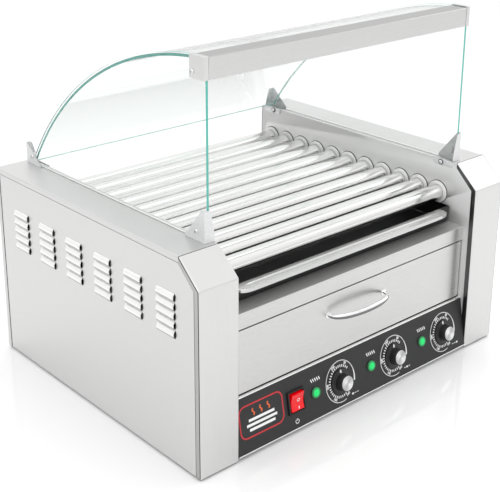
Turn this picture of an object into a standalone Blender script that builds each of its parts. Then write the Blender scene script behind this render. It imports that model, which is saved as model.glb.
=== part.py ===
"""Counter-top hot dog roller grill with a warming drawer and a glass canopy.

Metres, +Z up. The front faces -Y. Every piece hangs on the empty "body_frame", whose origin is in the
middle of the housing's width, on the front face of the corner posts and level with the housing's lower
edge. Sizes and places below are in that frame.
"""
import math

import bmesh
import bpy
from mathutils import Vector

# ---- Housing ------------------------------------------------------------------------------------------
HALF_WIDTH = 0.290
DEPTH = 0.463
HOUSING_WIDTH = 0.062
TOP_Z = 0.286
POST_Z = 0.253
SLOPE_DEPTH = 0.037
SHEET = 0.0012
FLANGE = 0.0085
GAP = 0.0003
FRONT_OFFSET = 0.23165
FOOT_HEIGHT = 0.003
WALL_X = HALF_WIDTH - HOUSING_WIDTH
COVER_BACK = DEPTH - 0.009
COVER_TOP = 0.278
COVER_SHEET = 0.001
INNER_EDGE_X = WALL_X - GAP

# ---- Louvres on the side covers -----------------------------------------------------------------------
LOUVRE_COLUMNS = 6
LOUVRE_ROWS = 5
LOUVRE_FIRST_Y = 0.045
LOUVRE_PITCH_Y = 0.0667
LOUVRE_LENGTH = 0.0355
LOUVRE_FIRST_Z = 0.1755
LOUVRE_PITCH_Z = 0.0122
LOUVRE_HEIGHT = 0.0085
LOUVRE_RISE = 0.003
LOUVRE_SLOPE = 0.002
LOUVRE_MOUTH = 0.0008

# ---- Rollers ------------------------------------------------------------------------------------------
ROLLER_COUNT = 11
ROLLER_FIRST_Y = 0.0695
ROLLER_PITCH = 0.0366
ROLLER_Z = 0.2333
ROLLER_R = 0.012
ROLLER_BORE = 0.0108
ROLLER_SEGMENTS = 18
ROLLER_LEFT_END = -0.238
BUSHING_R = 0.017
BUSHING_THICKNESS = 0.0018
BEARING_HOLE_R = 0.0129
SPROCKET_X = (0.2413, 0.2457)
SPROCKET_TIP = 0.0120
SPROCKET_ROOT = 0.0088
NECK_X = 0.2378
NECK_R = 0.0085
PLUG_BORE = 0.0062
FRONT_ZONE = 6

# ---- Drive --------------------------------------------------------------------------------------------
CHAIN_X = (0.2385, 0.2485)
CHAIN_PLATE = 0.0024
CHAIN_OUTER = 0.0150
CHAIN_WEB = 0.01245
CHAIN_INNER = 0.0095
DRIVE_TEETH = 17
DRIVE_TIP = 0.0219
DRIVE_ROOT = 0.0178
DRIVE_Y = 0.2525
DRIVE_Z = ROLLER_Z - CHAIN_OUTER - 0.0004 - DRIVE_TIP

# ---- Deck, tray, drawer -------------------------------------------------------------------------------
DECK_Z = 0.1927
RAIL_Z = 0.1713
FRONT_PLANE = 0.018
TRAY_X = 0.2245
TRAY_Y = (0.0445, 0.448)
TRAY_Z = (0.1932, 0.2185)
DRAWER_X = 0.2253
DRAWER_Z = (0.080, 0.1705)
BOX_X = 0.205
BOX_Y = (0.0305, 0.400)
BOX_Z = (0.090, 0.160)
HANDLE_HALF_SPAN = 0.0565
HANDLE_Z = 0.140
HANDLE_REACH = 0.0262

# ---- Control panel: places along it are (x, height up its slope, distance out from its face) ----------
PANEL_BOTTOM = Vector((0.0, -0.0005, 0.003))
PANEL_TOP = Vector((0.0, 0.0138, 0.0791))
PANEL_SHEET = 0.0015
PANEL_TILT = math.atan2(PANEL_TOP.y - PANEL_BOTTOM.y, PANEL_TOP.z - PANEL_BOTTOM.z)
KNOB_X = (-0.039, 0.070, 0.1795)
KNOB_V = 0.0367
LAMP_X = (-0.0865, 0.0225, 0.1315)
LAMP_V = 0.0380
SWITCH_X = -0.123
SWITCH_V = 0.0394
SWITCH_HALF_WIDTH = 0.015
SWITCH_HALF_HEIGHT = 0.0159
ROCKER_REST = math.radians(8.0)

# ---- Canopy -------------------------------------------------------------------------------------------
GLASS_X = (0.2355, 0.239)
GLASS_FRONT = 0.0465
GLASS_FOOT = TOP_Z + 0.0006
ARC_CENTRE = (0.041, 0.041)
ARC_R = 0.4735
CURVED_R = (0.468, 0.4715)
CURVED_BACK_Y = 0.440
BAR_Y = (0.0465, 0.072)
BAR_Z = (0.4865, 0.5135)
BRACKET_X = (0.242, 0.2435)

ZONES = ("front", "rear", "drawer")
SIDES = (("left", -1), ("right", 1))


# ---- Modelling helpers --------------------------------------------------------------------------------
def material(name, colour, roughness, metallic=0.0, transmission=0.0):
    """A Principled material."""
    made = bpy.data.materials.new(name)
    made.use_nodes = True
    shader = made.node_tree.nodes["Principled BSDF"]
    shader.inputs["Base Color"].default_value = (*colour, 1.0)
    shader.inputs["Roughness"].default_value = roughness
    shader.inputs["Metallic"].default_value = metallic
    shader.inputs["Transmission Weight"].default_value = transmission
    made.diffuse_color = (*colour, 1.0)
    return made


def empty(name, location, parent=None, rotation=(0.0, 0.0, 0.0)):
    """A frame that pieces hang on."""
    made = bpy.data.objects.new(name, None)
    made.location = location
    made.rotation_euler = rotation
    made.parent = parent
    bpy.context.scene.collection.objects.link(made)
    return made


def solid(name, bm, surface=None, parent=None, location=(0.0, 0.0, 0.0), smooth=False):
    """An object from a closed bmesh, with its faces pointing out."""
    bmesh.ops.recalc_face_normals(bm, faces=bm.faces)
    mesh = bpy.data.meshes.new(name)
    bm.to_mesh(mesh)
    bm.free()
    made = bpy.data.objects.new(name, mesh)
    made.location = location
    made.parent = parent
    bpy.context.scene.collection.objects.link(made)
    if surface:
        mesh.materials.append(surface)
    if smooth:
        mesh.shade_smooth()
        mesh.set_sharp_from_angle(angle=math.radians(35))
    return made


def combine(base, tools, operation):
    """Applies a Boolean with each tool, then removes the tools. Tools are bmeshes in the base's own frame."""
    cutters = [solid("tool", tool, None, base.parent, base.location) for tool in tools]
    for cutter in cutters:
        step = base.modifiers.new(operation, "BOOLEAN")
        step.operation = operation
        step.solver = "EXACT"
        step.object = cutter
    bpy.context.view_layer.update()
    evaluated = base.evaluated_get(bpy.context.evaluated_depsgraph_get())
    result = bpy.data.meshes.new_from_object(evaluated)
    base.modifiers.clear()
    base.data = result
    for cutter in cutters:
        bpy.data.objects.remove(cutter)
    return base


def join(base, *tools):
    """Unites closed shapes with the base, so that they become one body."""
    return combine(base, tools, "UNION")


def cut(base, *tools):
    """Cuts closed shapes out of the base."""
    return combine(base, tools, "DIFFERENCE")


def add_prism(bm, outline, axis, low, high):
    """Adds a flat outline carried from low to high: (y, z) points along X, (x, z) along Y, (x, y) along Z."""
    place = {
        "X": lambda a, b, along: (along, a, b),
        "Y": lambda a, b, along: (a, along, b),
        "Z": lambda a, b, along: (a, b, along),
    }[axis]
    rings = [[bm.verts.new(place(a, b, along)) for a, b in outline] for along in (low, high)]
    count = len(outline)
    for i in range(count):
        j = (i + 1) % count
        bm.faces.new((rings[0][i], rings[0][j], rings[1][j], rings[1][i]))
    for ring in rings:
        bm.faces.new(ring)


def prism(outline, axis, low, high):
    """A flat outline carried along one axis."""
    bm = bmesh.new()
    add_prism(bm, outline, axis, low, high)
    return bm


def box(x, y, z):
    """A box between pairs of limits."""
    outline = ((x[0], y[0]), (x[1], y[0]), (x[1], y[1]), (x[0], y[1]))
    return prism(outline, "Z", z[0], z[1])


def boxes(limits):
    """Separate boxes in one mesh."""
    bm = bmesh.new()
    for x, y, z in limits:
        outline = ((x[0], y[0]), (x[1], y[0]), (x[1], y[1]), (x[0], y[1]))
        add_prism(bm, outline, "Z", z[0], z[1])
    return bm


def circle(centre, radius, segments):
    """Points of a circle."""
    turn = math.tau / segments
    return [
        (centre[0] + radius * math.cos(i * turn), centre[1] + radius * math.sin(i * turn))
        for i in range(segments)
    ]


def cylinders(centres, axis, radius, low, high, segments):
    """Separate cylinders in one mesh."""
    bm = bmesh.new()
    for centre in centres:
        add_prism(bm, circle(centre, radius, segments), axis, low, high)
    return bm


def turned(profile, segments, axis, closed=True):
    """A profile of (along, radius) points turned about an axis through the origin.

    A radius may be a pair (tip, root), which alternates round the ring and makes teeth. An open profile
    is closed by a flat face at each end.
    """
    bm = bmesh.new()
    rings = []
    for along, radius in profile:
        ring = []
        for i in range(segments):
            r = radius[i % 2] if isinstance(radius, tuple) else radius
            a = r * math.cos(i * math.tau / segments)
            b = r * math.sin(i * math.tau / segments)
            ring.append(bm.verts.new((along, a, b) if axis == "X" else (a, along, b)))
        rings.append(ring)
    count = len(rings)
    for k in range(count if closed else count - 1):
        here = rings[k]
        there = rings[(k + 1) % count]
        for i in range(segments):
            j = (i + 1) % segments
            bm.faces.new((here[i], here[j], there[j], there[i]))
    if not closed:
        bm.faces.new(rings[0])
        bm.faces.new(rings[-1])
    return bm


def span(side, low, high):
    """Limits of x on one side of the middle, in rising order."""
    return (low, high) if side > 0 else (-high, -low)


def roller_centres():
    """The (y, z) of every roller's axis."""
    return [(ROLLER_FIRST_Y + i * ROLLER_PITCH, ROLLER_Z) for i in range(ROLLER_COUNT)]


# ---- Housing pieces -----------------------------------------------------------------------------------
def side_outline(bottom, back, top, edge):
    """Outline of a side sheet behind the post's flange: its upper front corner follows the slope."""
    return (
        (FLANGE + edge, bottom),
        (back, bottom),
        (back, top),
        (SLOPE_DEPTH + 0.0012, top),
        (FLANGE + edge, POST_Z - 0.0026),
    )


def front_post(name, side, surface, frame):
    """Folded corner post: front face, sloping top and a flange down each side."""
    outline = (
        (0.0, 0.0),
        (FLANGE, 0.0),
        (FLANGE, POST_Z - 0.0030),
        (SLOPE_DEPTH + 0.0008, TOP_Z - 0.0078),
        (SLOPE_DEPTH, TOP_Z),
        (0.0, POST_Z),
    )
    post = solid(name, prism(outline, "X", *span(side, WALL_X, HALF_WIDTH)), surface, frame)
    rise = (TOP_Z - POST_Z) / SLOPE_DEPTH
    drop = SHEET * math.hypot(1.0, rise)
    hollow = (
        (SHEET, -0.01),
        (0.1, -0.01),
        (0.1, POST_Z + 0.1 * rise - drop),
        (SHEET, POST_Z + SHEET * rise - drop),
    )
    cut(post, prism(hollow, "X", *span(side, WALL_X + SHEET, HALF_WIDTH - SHEET)))
    return post


def wall(name, side, surface, frame):
    """Inner wall with bushing collars round its bearing holes, folded into the top strip and outer flange."""
    back = DEPTH - 0.0015
    outline = side_outline(0.0015, back, COVER_TOP + 0.0005, 0.0005)
    outline = (*outline[:2], (back, TOP_Z), (SLOPE_DEPTH + 0.0006, TOP_Z), *outline[3:])
    made = solid(name, prism(outline, "X", *span(side, WALL_X, HALF_WIDTH)), surface, frame)
    inside = span(side, WALL_X + SHEET, HALF_WIDTH - SHEET)
    below_flange = span(side, WALL_X + SHEET, HALF_WIDTH + 0.01)
    collars_x = span(side, WALL_X - BUSHING_THICKNESS, WALL_X + 0.0006)
    holes = cylinders(roller_centres(), "X", BEARING_HOLE_R, *span(side, WALL_X - 0.01, WALL_X + 0.01), 12)
    join(made, cylinders(roller_centres(), "X", BUSHING_R, *collars_x, 16))
    cut(
        made,
        box(inside, (-0.01, DEPTH + 0.01), (-0.01, TOP_Z - SHEET)),
        box(below_flange, (-0.01, DEPTH + 0.01), (-0.01, COVER_TOP + 0.0005)),
        holes,
    )
    return made


def side_cover(name, side, surface, frame):
    """Outer cover: a sheet whose louvres are bridges raised outward and open at both ends."""
    columns = [LOUVRE_FIRST_Y + i * LOUVRE_PITCH_Y for i in range(LOUVRE_COLUMNS)]
    rows = [LOUVRE_FIRST_Z + i * LOUVRE_PITCH_Z for i in range(LOUVRE_ROWS)]
    bottom = 0.0003
    slope_start = POST_Z - 0.0026
    ys = [FLANGE + 0.0005, SLOPE_DEPTH + 0.0012]
    for y in columns:
        ys += [y, y + LOUVRE_LENGTH]
    ys.append(COVER_BACK)
    zs = [bottom]
    for z in rows:
        zs += [z, z + LOUVRE_HEIGHT]
    zs += [slope_start, COVER_TOP]
    bm = bmesh.new()
    grid = {}

    def vertex(y, z, rise=0.0):
        key = (round(y, 6), round(z, 6), rise)
        if key not in grid:
            grid[key] = bm.verts.new((side * (HALF_WIDTH + rise), y, z))
        return grid[key]

    def edge(y0, y1, z):
        """Corners along a cell's edge, with the louvre's own corners where one starts or ends."""
        at_louvre = y0 in columns and zs[1] <= z <= zs[2 * LOUVRE_ROWS]
        inset = (y0 + LOUVRE_MOUTH, y1 - LOUVRE_MOUTH) if at_louvre else ()
        return [vertex(y, z) for y in (y0, *inset, y1)]

    for y0, y1 in zip(ys, ys[1:]):
        for z0, z1 in zip(zs, zs[1:]):
            if y0 in columns and z0 in rows:
                start, end = y0 + LOUVRE_MOUTH, y1 - LOUVRE_MOUTH
                low, high = z0 + LOUVRE_SLOPE, z1 - LOUVRE_SLOPE
                levels = ((z0, 0.0), (low, LOUVRE_RISE), (high, LOUVRE_RISE), (z1, 0.0))
                for (za, ra), (zb, rb) in zip(levels, levels[1:]):
                    lower = [vertex(y, za, ra) for y in (start, end)]
                    upper = [vertex(y, zb, rb) for y in (end, start)]
                    corners = (*lower, *upper)
                    bm.faces.new(corners)
            elif y0 == ys[0] and z0 == slope_start:
                bm.faces.new((vertex(y0, z0), vertex(y1, z0), vertex(y1, z1)))
            else:
                bm.faces.new((*edge(y0, y1, z0), *reversed(edge(y0, y1, z1))))
    raised = bmesh.ops.extrude_face_region(bm, geom=bm.faces[:], use_keep_orig=True)
    inner = [item for item in raised["geom"] if isinstance(item, bmesh.types.BMVert)]
    bmesh.ops.translate(bm, verts=inner, vec=(-side * COVER_SHEET, 0.0, 0.0))
    return solid(name, bm, surface, frame)


def rear_panel(surface, frame):
    """Rear sheet: full height behind the housings, low between them, with side flanges and vent slots."""
    low_z = 0.205
    high_z = TOP_Z - 0.0015
    outline = (
        (-HALF_WIDTH, 0.0),
        (HALF_WIDTH, 0.0),
        (HALF_WIDTH, high_z),
        (WALL_X, high_z),
        (WALL_X, low_z),
        (-WALL_X, low_z),
        (-WALL_X, high_z),
        (-HALF_WIDTH, high_z),
    )
    panel = solid("rear_panel", prism(outline, "Y", DEPTH - SHEET, DEPTH), surface, frame)
    flanges = [
        box(span(side, HALF_WIDTH - SHEET, HALF_WIDTH), (DEPTH - FLANGE, DEPTH), (0.0, COVER_TOP))
        for _, side in SIDES
    ]
    join(panel, *flanges)
    slots = []
    for row in range(3):
        for column in range(8):
            x = -0.185 + column * 0.048
            z = 0.060 + row * 0.014
            slots.append(((x, x + 0.034), (DEPTH - 0.01, DEPTH + 0.01), (z, z + 0.005)))
    gland_hole = cylinders([(0.258, 0.045)], "Y", 0.0084, DEPTH - 0.01, DEPTH + 0.01, 16)
    cut(panel, boxes(slots), gland_hole)
    return panel


def base_pan(surface, frame):
    """Floor sheet with a lip up each side, notched round the corner posts."""
    edge = HALF_WIDTH - 0.0015
    front = 0.0018
    back = DEPTH - 0.0016
    pan = solid("base_pan", box((-edge, edge), (front, back), (0.0, 0.012)), surface, frame)
    notches = [
        box(span(side, WALL_X - 0.0005, HALF_WIDTH), (-0.01, FLANGE + 0.001), (-0.01, 0.02))
        for _, side in SIDES
    ]
    hollow = box((SHEET - edge, edge - SHEET), (-0.01, DEPTH), (SHEET, 0.02))
    cut(pan, hollow, *notches)
    return pan


def feet(surface, frame):
    """Four rubber feet under the base pan."""
    places = {"front": 0.030, "rear": 0.430}
    for row, y in places.items():
        for label, side in SIDES:
            bm = cylinders([(side * 0.255, y)], "Z", 0.009, -FOOT_HEIGHT, -GAP, 16)
            solid(f"foot_{row}_{label}", bm, surface, frame)


def cable_gland(surface, frame):
    """Gland in the rear panel: neck through the sheet, flange outside, bore for the cord."""
    profile = (
        (DEPTH - 0.012, 0.0045),
        (DEPTH - 0.012, 0.0080),
        (DEPTH + GAP, 0.0080),
        (DEPTH + GAP, 0.0115),
        (DEPTH + 0.006, 0.0115),
        (DEPTH + 0.012, 0.0080),
        (DEPTH + 0.012, 0.0045),
    )
    bm = turned(profile, 16, "Y")
    return solid("cable_gland", bm, surface, frame, (0.258, 0.0, 0.045), smooth=True)


# ---- Rollers, heaters and drive -----------------------------------------------------------------------
def rollers(surface, frame):
    """Eleven tubes through both walls, each with an end plug that carries its sprocket."""
    teeth = (SPROCKET_TIP, SPROCKET_ROOT)
    profile = (
        (ROLLER_LEFT_END, ROLLER_BORE),
        (ROLLER_LEFT_END, ROLLER_R),
        (NECK_X, ROLLER_R),
        (NECK_X, NECK_R),
        (SPROCKET_X[0], NECK_R),
        (SPROCKET_X[0], teeth),
        (SPROCKET_X[1], teeth),
        (SPROCKET_X[1], PLUG_BORE),
        (NECK_X - 0.004, PLUG_BORE),
        (NECK_X - 0.004, ROLLER_BORE),
    )
    mesh = None
    for i, (y, z) in enumerate(roller_centres(), start=1):
        name = f"roller_{i:02d}"
        if mesh is None:
            bm = turned(profile, ROLLER_SEGMENTS, "X")
            mesh = solid(name, bm, surface, frame, (0.0, y, z), smooth=True).data
        else:
            made = bpy.data.objects.new(name, mesh)
            made.location = (0.0, y, z)
            made.parent = frame
            bpy.context.scene.collection.objects.link(made)


def heater_set(name, centres, surface, frame):
    """Heating rods that stand still inside the rollers, held by a strip past each end."""
    rod = 0.0045
    left = ROLLER_LEFT_END - 0.008
    right = CHAIN_X[1] + 0.006
    first = centres[0][0] - 0.007
    last = centres[-1][0] + 0.007
    strip_z = (ROLLER_Z - 0.006, ROLLER_Z + 0.006)
    made = solid(name, box((left - 0.002, left), (first, last), strip_z), surface, frame)
    join(
        made,
        box((right, right + 0.002), (first, last), strip_z),
        cylinders(centres, "X", rod, left - 0.001, right + 0.001, 8),
    )
    return made


def drive(metal, dark, frame):
    """Gear motor, its bracket, the drive sprocket and the chain loop round the rollers' sprockets."""
    gearbox_x = (0.2490, 0.2660)
    gearbox = box(gearbox_x, (DRIVE_Y - 0.026, DRIVE_Y + 0.026), (0.128, 0.2100))
    motor = solid("gear_motor", gearbox, metal, frame)
    can = cylinders([(DRIVE_Y, 0.156)], "X", 0.024, gearbox_x[1] - 0.001, 0.2860, 20)
    socket = cylinders([(DRIVE_Y, DRIVE_Z)], "X", 0.0060, gearbox_x[0] - 0.01, gearbox_x[0] + 0.0045, 16)
    join(motor, can)
    cut(motor, socket)

    plate_x = (gearbox_x[0] - 0.0017, gearbox_x[0] - GAP)
    bracket_y = (DRIVE_Y - 0.030, DRIVE_Y + 0.030)
    bracket_z = (0.130, 0.165)
    wall_face = WALL_X + SHEET + GAP
    bracket = solid("motor_bracket", box((wall_face, plate_x[1]), bracket_y, bracket_z), metal, frame)
    inside_y = (bracket_y[0] + 0.0015, bracket_y[1] - 0.0015)
    cut(bracket, box((wall_face - 0.01, plate_x[0]), inside_y, (bracket_z[0] - 0.01, bracket_z[1] + 0.01)))

    profile = (
        (SPROCKET_X[0] - 0.004, 0.0045),
        (SPROCKET_X[0] - 0.004, 0.0095),
        (SPROCKET_X[0], 0.0095),
        (SPROCKET_X[0], (DRIVE_TIP, DRIVE_ROOT)),
        (SPROCKET_X[1], (DRIVE_TIP, DRIVE_ROOT)),
        (SPROCKET_X[1], 0.0050),
        (gearbox_x[0] + 0.0040, 0.0050),
    )
    bm = turned(profile, 2 * DRIVE_TEETH, "X", closed=False)
    solid("drive_sprocket", bm, metal, frame, (0.0, DRIVE_Y, DRIVE_Z))

    centres = roller_centres()
    steps = 8
    stations = []
    for centre, start in ((centres[-1], -90.0), (centres[0], 90.0)):
        for k in range(steps + 1):
            angle = math.radians(start + 180.0 * k / steps)
            stations.append((centre, math.cos(angle), math.sin(angle)))
    section = (
        (CHAIN_X[0], CHAIN_OUTER),
        (CHAIN_X[1], CHAIN_OUTER),
        (CHAIN_X[1], CHAIN_INNER),
        (CHAIN_X[1] - CHAIN_PLATE, CHAIN_INNER),
        (CHAIN_X[1] - CHAIN_PLATE, CHAIN_WEB),
        (CHAIN_X[0] + CHAIN_PLATE, CHAIN_WEB),
        (CHAIN_X[0] + CHAIN_PLATE, CHAIN_INNER),
        (CHAIN_X[0], CHAIN_INNER),
    )
    bm = bmesh.new()
    rings = [
        [bm.verts.new((x, centre[0] + r * cosine, centre[1] + r * sine)) for x, r in section]
        for centre, cosine, sine in stations
    ]
    for here, there in zip(rings, rings[1:] + rings[:1]):
        for i in range(len(section)):
            j = (i + 1) % len(section)
            bm.faces.new((here[i], here[j], there[j], there[i]))
    solid("drive_chain", bm, dark, frame)


# ---- Deck, tray and drawer ----------------------------------------------------------------------------
def deck(surface, frame):
    """Shelf under the tray, folded down at the front into the rail above the drawer."""
    back = DEPTH - 0.008
    outline = (
        (FRONT_PLANE, RAIL_Z),
        (FRONT_PLANE + SHEET, RAIL_Z),
        (FRONT_PLANE + SHEET, DECK_Z - SHEET),
        (back - SHEET, DECK_Z - SHEET),
        (back - SHEET, DECK_Z - 0.012),
        (back, DECK_Z - 0.012),
        (back, DECK_Z),
        (FRONT_PLANE, DECK_Z),
    )
    return solid("deck", prism(outline, "X", -INNER_EDGE_X, INNER_EDGE_X), surface, frame)


def drip_tray(surface, frame):
    """Open tray under the rollers with a pull lip along its front."""
    wall_t = 0.001
    tray = solid("drip_tray", box((-TRAY_X, TRAY_X), TRAY_Y, TRAY_Z), surface, frame)
    lip_x = 0.203
    lip = (
        (-lip_x, TRAY_Y[0] + 0.0005),
        (-lip_x, 0.0345),
        (-lip_x + 0.006, 0.0275),
        (-lip_x + 0.016, 0.0235),
        (lip_x - 0.016, 0.0235),
        (lip_x - 0.006, 0.0275),
        (lip_x, 0.0345),
        (lip_x, TRAY_Y[0] + 0.0005),
    )
    join(tray, prism(lip, "Z", TRAY_Z[1] - 0.0015, TRAY_Z[1]))
    inside = (TRAY_Y[0] + wall_t, TRAY_Y[1] - wall_t)
    cut(tray, box((wall_t - TRAY_X, TRAY_X - wall_t), inside, (TRAY_Z[0] + wall_t, TRAY_Z[1] + 0.01)))
    return tray


def drawer(steel, chrome, frame):
    """Drawer front, box with side hems, and the bow handle."""
    depth = 0.012
    front = solid(
        "drawer_front",
        box((-DRAWER_X, DRAWER_X), (FRONT_PLANE, FRONT_PLANE + depth), DRAWER_Z),
        steel,
        frame,
    )
    cut(
        front,
        box(
            (SHEET - DRAWER_X, DRAWER_X - SHEET),
            (FRONT_PLANE + SHEET, FRONT_PLANE + depth + 0.01),
            (DRAWER_Z[0] + SHEET, DRAWER_Z[1] - SHEET),
        ),
    )

    wall_t = 0.001
    body = solid("drawer_box", box((-BOX_X, BOX_X), BOX_Y, BOX_Z), steel, frame)
    hems = [box(span(side, BOX_X - 0.0005, 0.222), BOX_Y, (BOX_Z[1] - wall_t, BOX_Z[1])) for _, side in SIDES]
    join(body, *hems)
    inside = (BOX_Y[0] + wall_t, BOX_Y[1] - wall_t)
    cut(body, box((wall_t - BOX_X, BOX_X - wall_t), inside, (BOX_Z[0] + wall_t, BOX_Z[1] + 0.01)))

    for label, side in SIDES:
        ledge_z = BOX_Z[1] - wall_t - GAP
        outline = (
            (side * 0.208, ledge_z),
            (side * INNER_EDGE_X, ledge_z),
            (side * INNER_EDGE_X, ledge_z - 0.026),
            (side * (INNER_EDGE_X - SHEET), ledge_z - 0.026),
            (side * (INNER_EDGE_X - SHEET), ledge_z - SHEET),
            (side * 0.208, ledge_z - SHEET),
        )
        runner = prism(outline, "Y", FRONT_PLANE + depth + 0.001, DEPTH - 0.010)
        solid(f"drawer_runner_{label}", runner, steel, frame)

    solid("drawer_handle", handle_shape(), chrome, frame, smooth=True)


def handle_shape():
    """A bow carried out from the drawer front, thicker and wider in its middle than at its feet."""
    stations = 14
    sides = 8
    bm = bmesh.new()
    rings = []
    for k in range(stations + 1):
        angle = math.pi * k / stations
        x = -HANDLE_HALF_SPAN * math.cos(angle)
        bow = math.sin(angle) ** 0.75
        y = FRONT_PLANE - GAP - HANDLE_REACH * bow
        across = 0.0022 + 0.0010 * bow
        tall = 0.0026 + 0.0012 * bow
        tangent = Vector((math.sin(angle), -0.6 * math.cos(angle), 0.0)).normalized()
        if k in (0, stations):
            tangent = Vector((0.0, 1.0 if k else -1.0, 0.0))
        outward = Vector((tangent.y, -tangent.x, 0.0))
        centre = Vector((x, y, HANDLE_Z - 0.003 * bow))
        ring = []
        for i in range(sides):
            turn = math.tau * (i + 0.5) / sides
            point = centre + outward * across * math.cos(turn)
            point.z += tall * math.sin(turn)
            point.y = min(point.y, FRONT_PLANE - GAP)
            ring.append(bm.verts.new(point))
        rings.append(ring)
    for here, there in zip(rings, rings[1:]):
        for i in range(sides):
            j = (i + 1) % sides
            bm.faces.new((here[i], here[j], there[j], there[i]))
    bm.faces.new(rings[0])
    bm.faces.new(rings[-1])
    return bm


def drawer_heater(surface, frame):
    """Flat heating plate under the drawer on four stand-offs."""
    made = solid("drawer_heater", box((-0.170, 0.170), (0.070, 0.370), (0.068, 0.073)), surface, frame)
    legs = [
        ((x - 0.004, x + 0.004), (y - 0.004, y + 0.004), (SHEET + GAP, 0.070))
        for x in (-0.160, 0.160)
        for y in (0.080, 0.360)
    ]
    join(made, boxes(legs))
    return made


# ---- Control panel ------------------------------------------------------------------------------------
def control_panel(surface, body, panel_frame):
    """Leaning front panel, folded back along its top and bottom."""
    edge = WALL_X - GAP
    low = PANEL_BOTTOM
    high = PANEL_TOP
    back = PANEL_SHEET / math.cos(PANEL_TILT)
    lean = math.tan(PANEL_TILT)
    outline = (
        (low.y, low.z),
        (high.y, high.z),
        (0.045, high.z),
        (0.045, high.z - SHEET),
        (high.y + back - SHEET * lean, high.z - SHEET),
        (low.y + back + SHEET * lean, low.z + SHEET),
        (0.012, low.z + SHEET),
        (0.012, low.z),
    )
    panel = solid("control_panel", prism(outline, "X", -edge, edge), surface, body)
    bpy.context.view_layer.update()
    to_body = body.matrix_world.inverted() @ panel_frame.matrix_world
    shafts = cylinders([(x, KNOB_V) for x in KNOB_X], "Y", 0.0042, -0.006, 0.006, 12)
    lamps = cylinders([(x, LAMP_V) for x in LAMP_X], "Y", 0.0063, -0.006, 0.006, 12)
    window = box(
        (SWITCH_X - 0.0138, SWITCH_X + 0.0138),
        (-0.006, 0.006),
        (SWITCH_V - 0.0147, SWITCH_V + 0.0147),
    )
    for bm in (shafts, lamps, window):
        bm.transform(to_body)
    cut(panel, shafts, lamps, window)
    return panel


def knob(name, x, surface, frame):
    """Knob on its shaft: wide skirt with a raised pointer at the top, grip and cap."""
    profile = (
        (0.0110, 0.0030),
        (-GAP, 0.0030),
        (-GAP, 0.0170),
        (-0.0018, 0.0170),
        (-0.0018, 0.0122),
        (-0.0120, 0.0115),
        (-0.0120, 0.0105),
        (-0.0145, 0.0100),
    )
    made = solid(name, turned(profile, 20, "Y", closed=False), surface, frame, (x, 0.0, KNOB_V), smooth=True)
    join(made, box((-0.002, 0.002), (-0.0028, -0.0010), (0.0115, 0.0172)))
    return made


def thermostat(name, x, surface, frame):
    """Thermostat behind the panel, with a socket for the knob's shaft."""
    profile = (
        (PANEL_SHEET + GAP, 0.0036),
        (PANEL_SHEET + GAP, 0.0150),
        (0.0260, 0.0150),
        (0.0260, 0.0036),
    )
    return solid(name, turned(profile, 12, "Y"), surface, frame, (x, 0.0, KNOB_V), smooth=True)


def lamp(name, x, surface, frame):
    """Indicator: rim and dome outside, body through the panel."""
    profile = (
        (0.0160, 0.0058),
        (-GAP, 0.0058),
        (-GAP, 0.0075),
        (-0.0016, 0.0075),
        (-0.0016, 0.0062),
        (-0.0032, 0.0048),
    )
    return solid(name, turned(profile, 16, "Y", closed=False), surface, frame, (x, 0.0, LAMP_V), smooth=True)


def power_switch(black, red, frame):
    """Rocker switch: bezel and well, and the rocker on its own axis across the well."""
    body = solid(
        "switch_body",
        box(
            (-SWITCH_HALF_WIDTH, SWITCH_HALF_WIDTH),
            (-0.0022, -GAP),
            (-SWITCH_HALF_HEIGHT, SWITCH_HALF_HEIGHT),
        ),
        black,
        frame,
        (SWITCH_X, 0.0, SWITCH_V),
    )
    join(body, box((-0.0135, 0.0135), (-0.0010, 0.0200), (-0.0144, 0.0144)))
    cut(body, box((-0.0124, 0.0124), (-0.0100, 0.0080), (-0.0139, 0.0139)))

    half = 0.0120
    outline = (
        (0.0, 0.0045),
        (half, 0.0010),
        (half + 0.0004, -0.0065),
        (0.0, -0.0042),
        (-half - 0.0004, -0.0065),
        (-half, 0.0010),
    )
    bm = bmesh.new()
    add_prism(bm, [(depth, height) for height, depth in outline], "X", -0.0118, 0.0118)
    rocker = solid("switch_rocker", bm, red, frame, (SWITCH_X, 0.0020, SWITCH_V))
    rocker.rotation_euler = (ROCKER_REST, 0.0, 0.0)


# ---- Canopy -------------------------------------------------------------------------------------------
def arc_points(radius, first, last, steps):
    """(y, z) points on the canopy's arc between two angles from level."""
    points = []
    for k in range(steps + 1):
        angle = first + (last - first) * k / steps
        points.append((ARC_CENTRE[0] + radius * math.cos(angle), ARC_CENTRE[1] + radius * math.sin(angle)))
    return points


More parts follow.
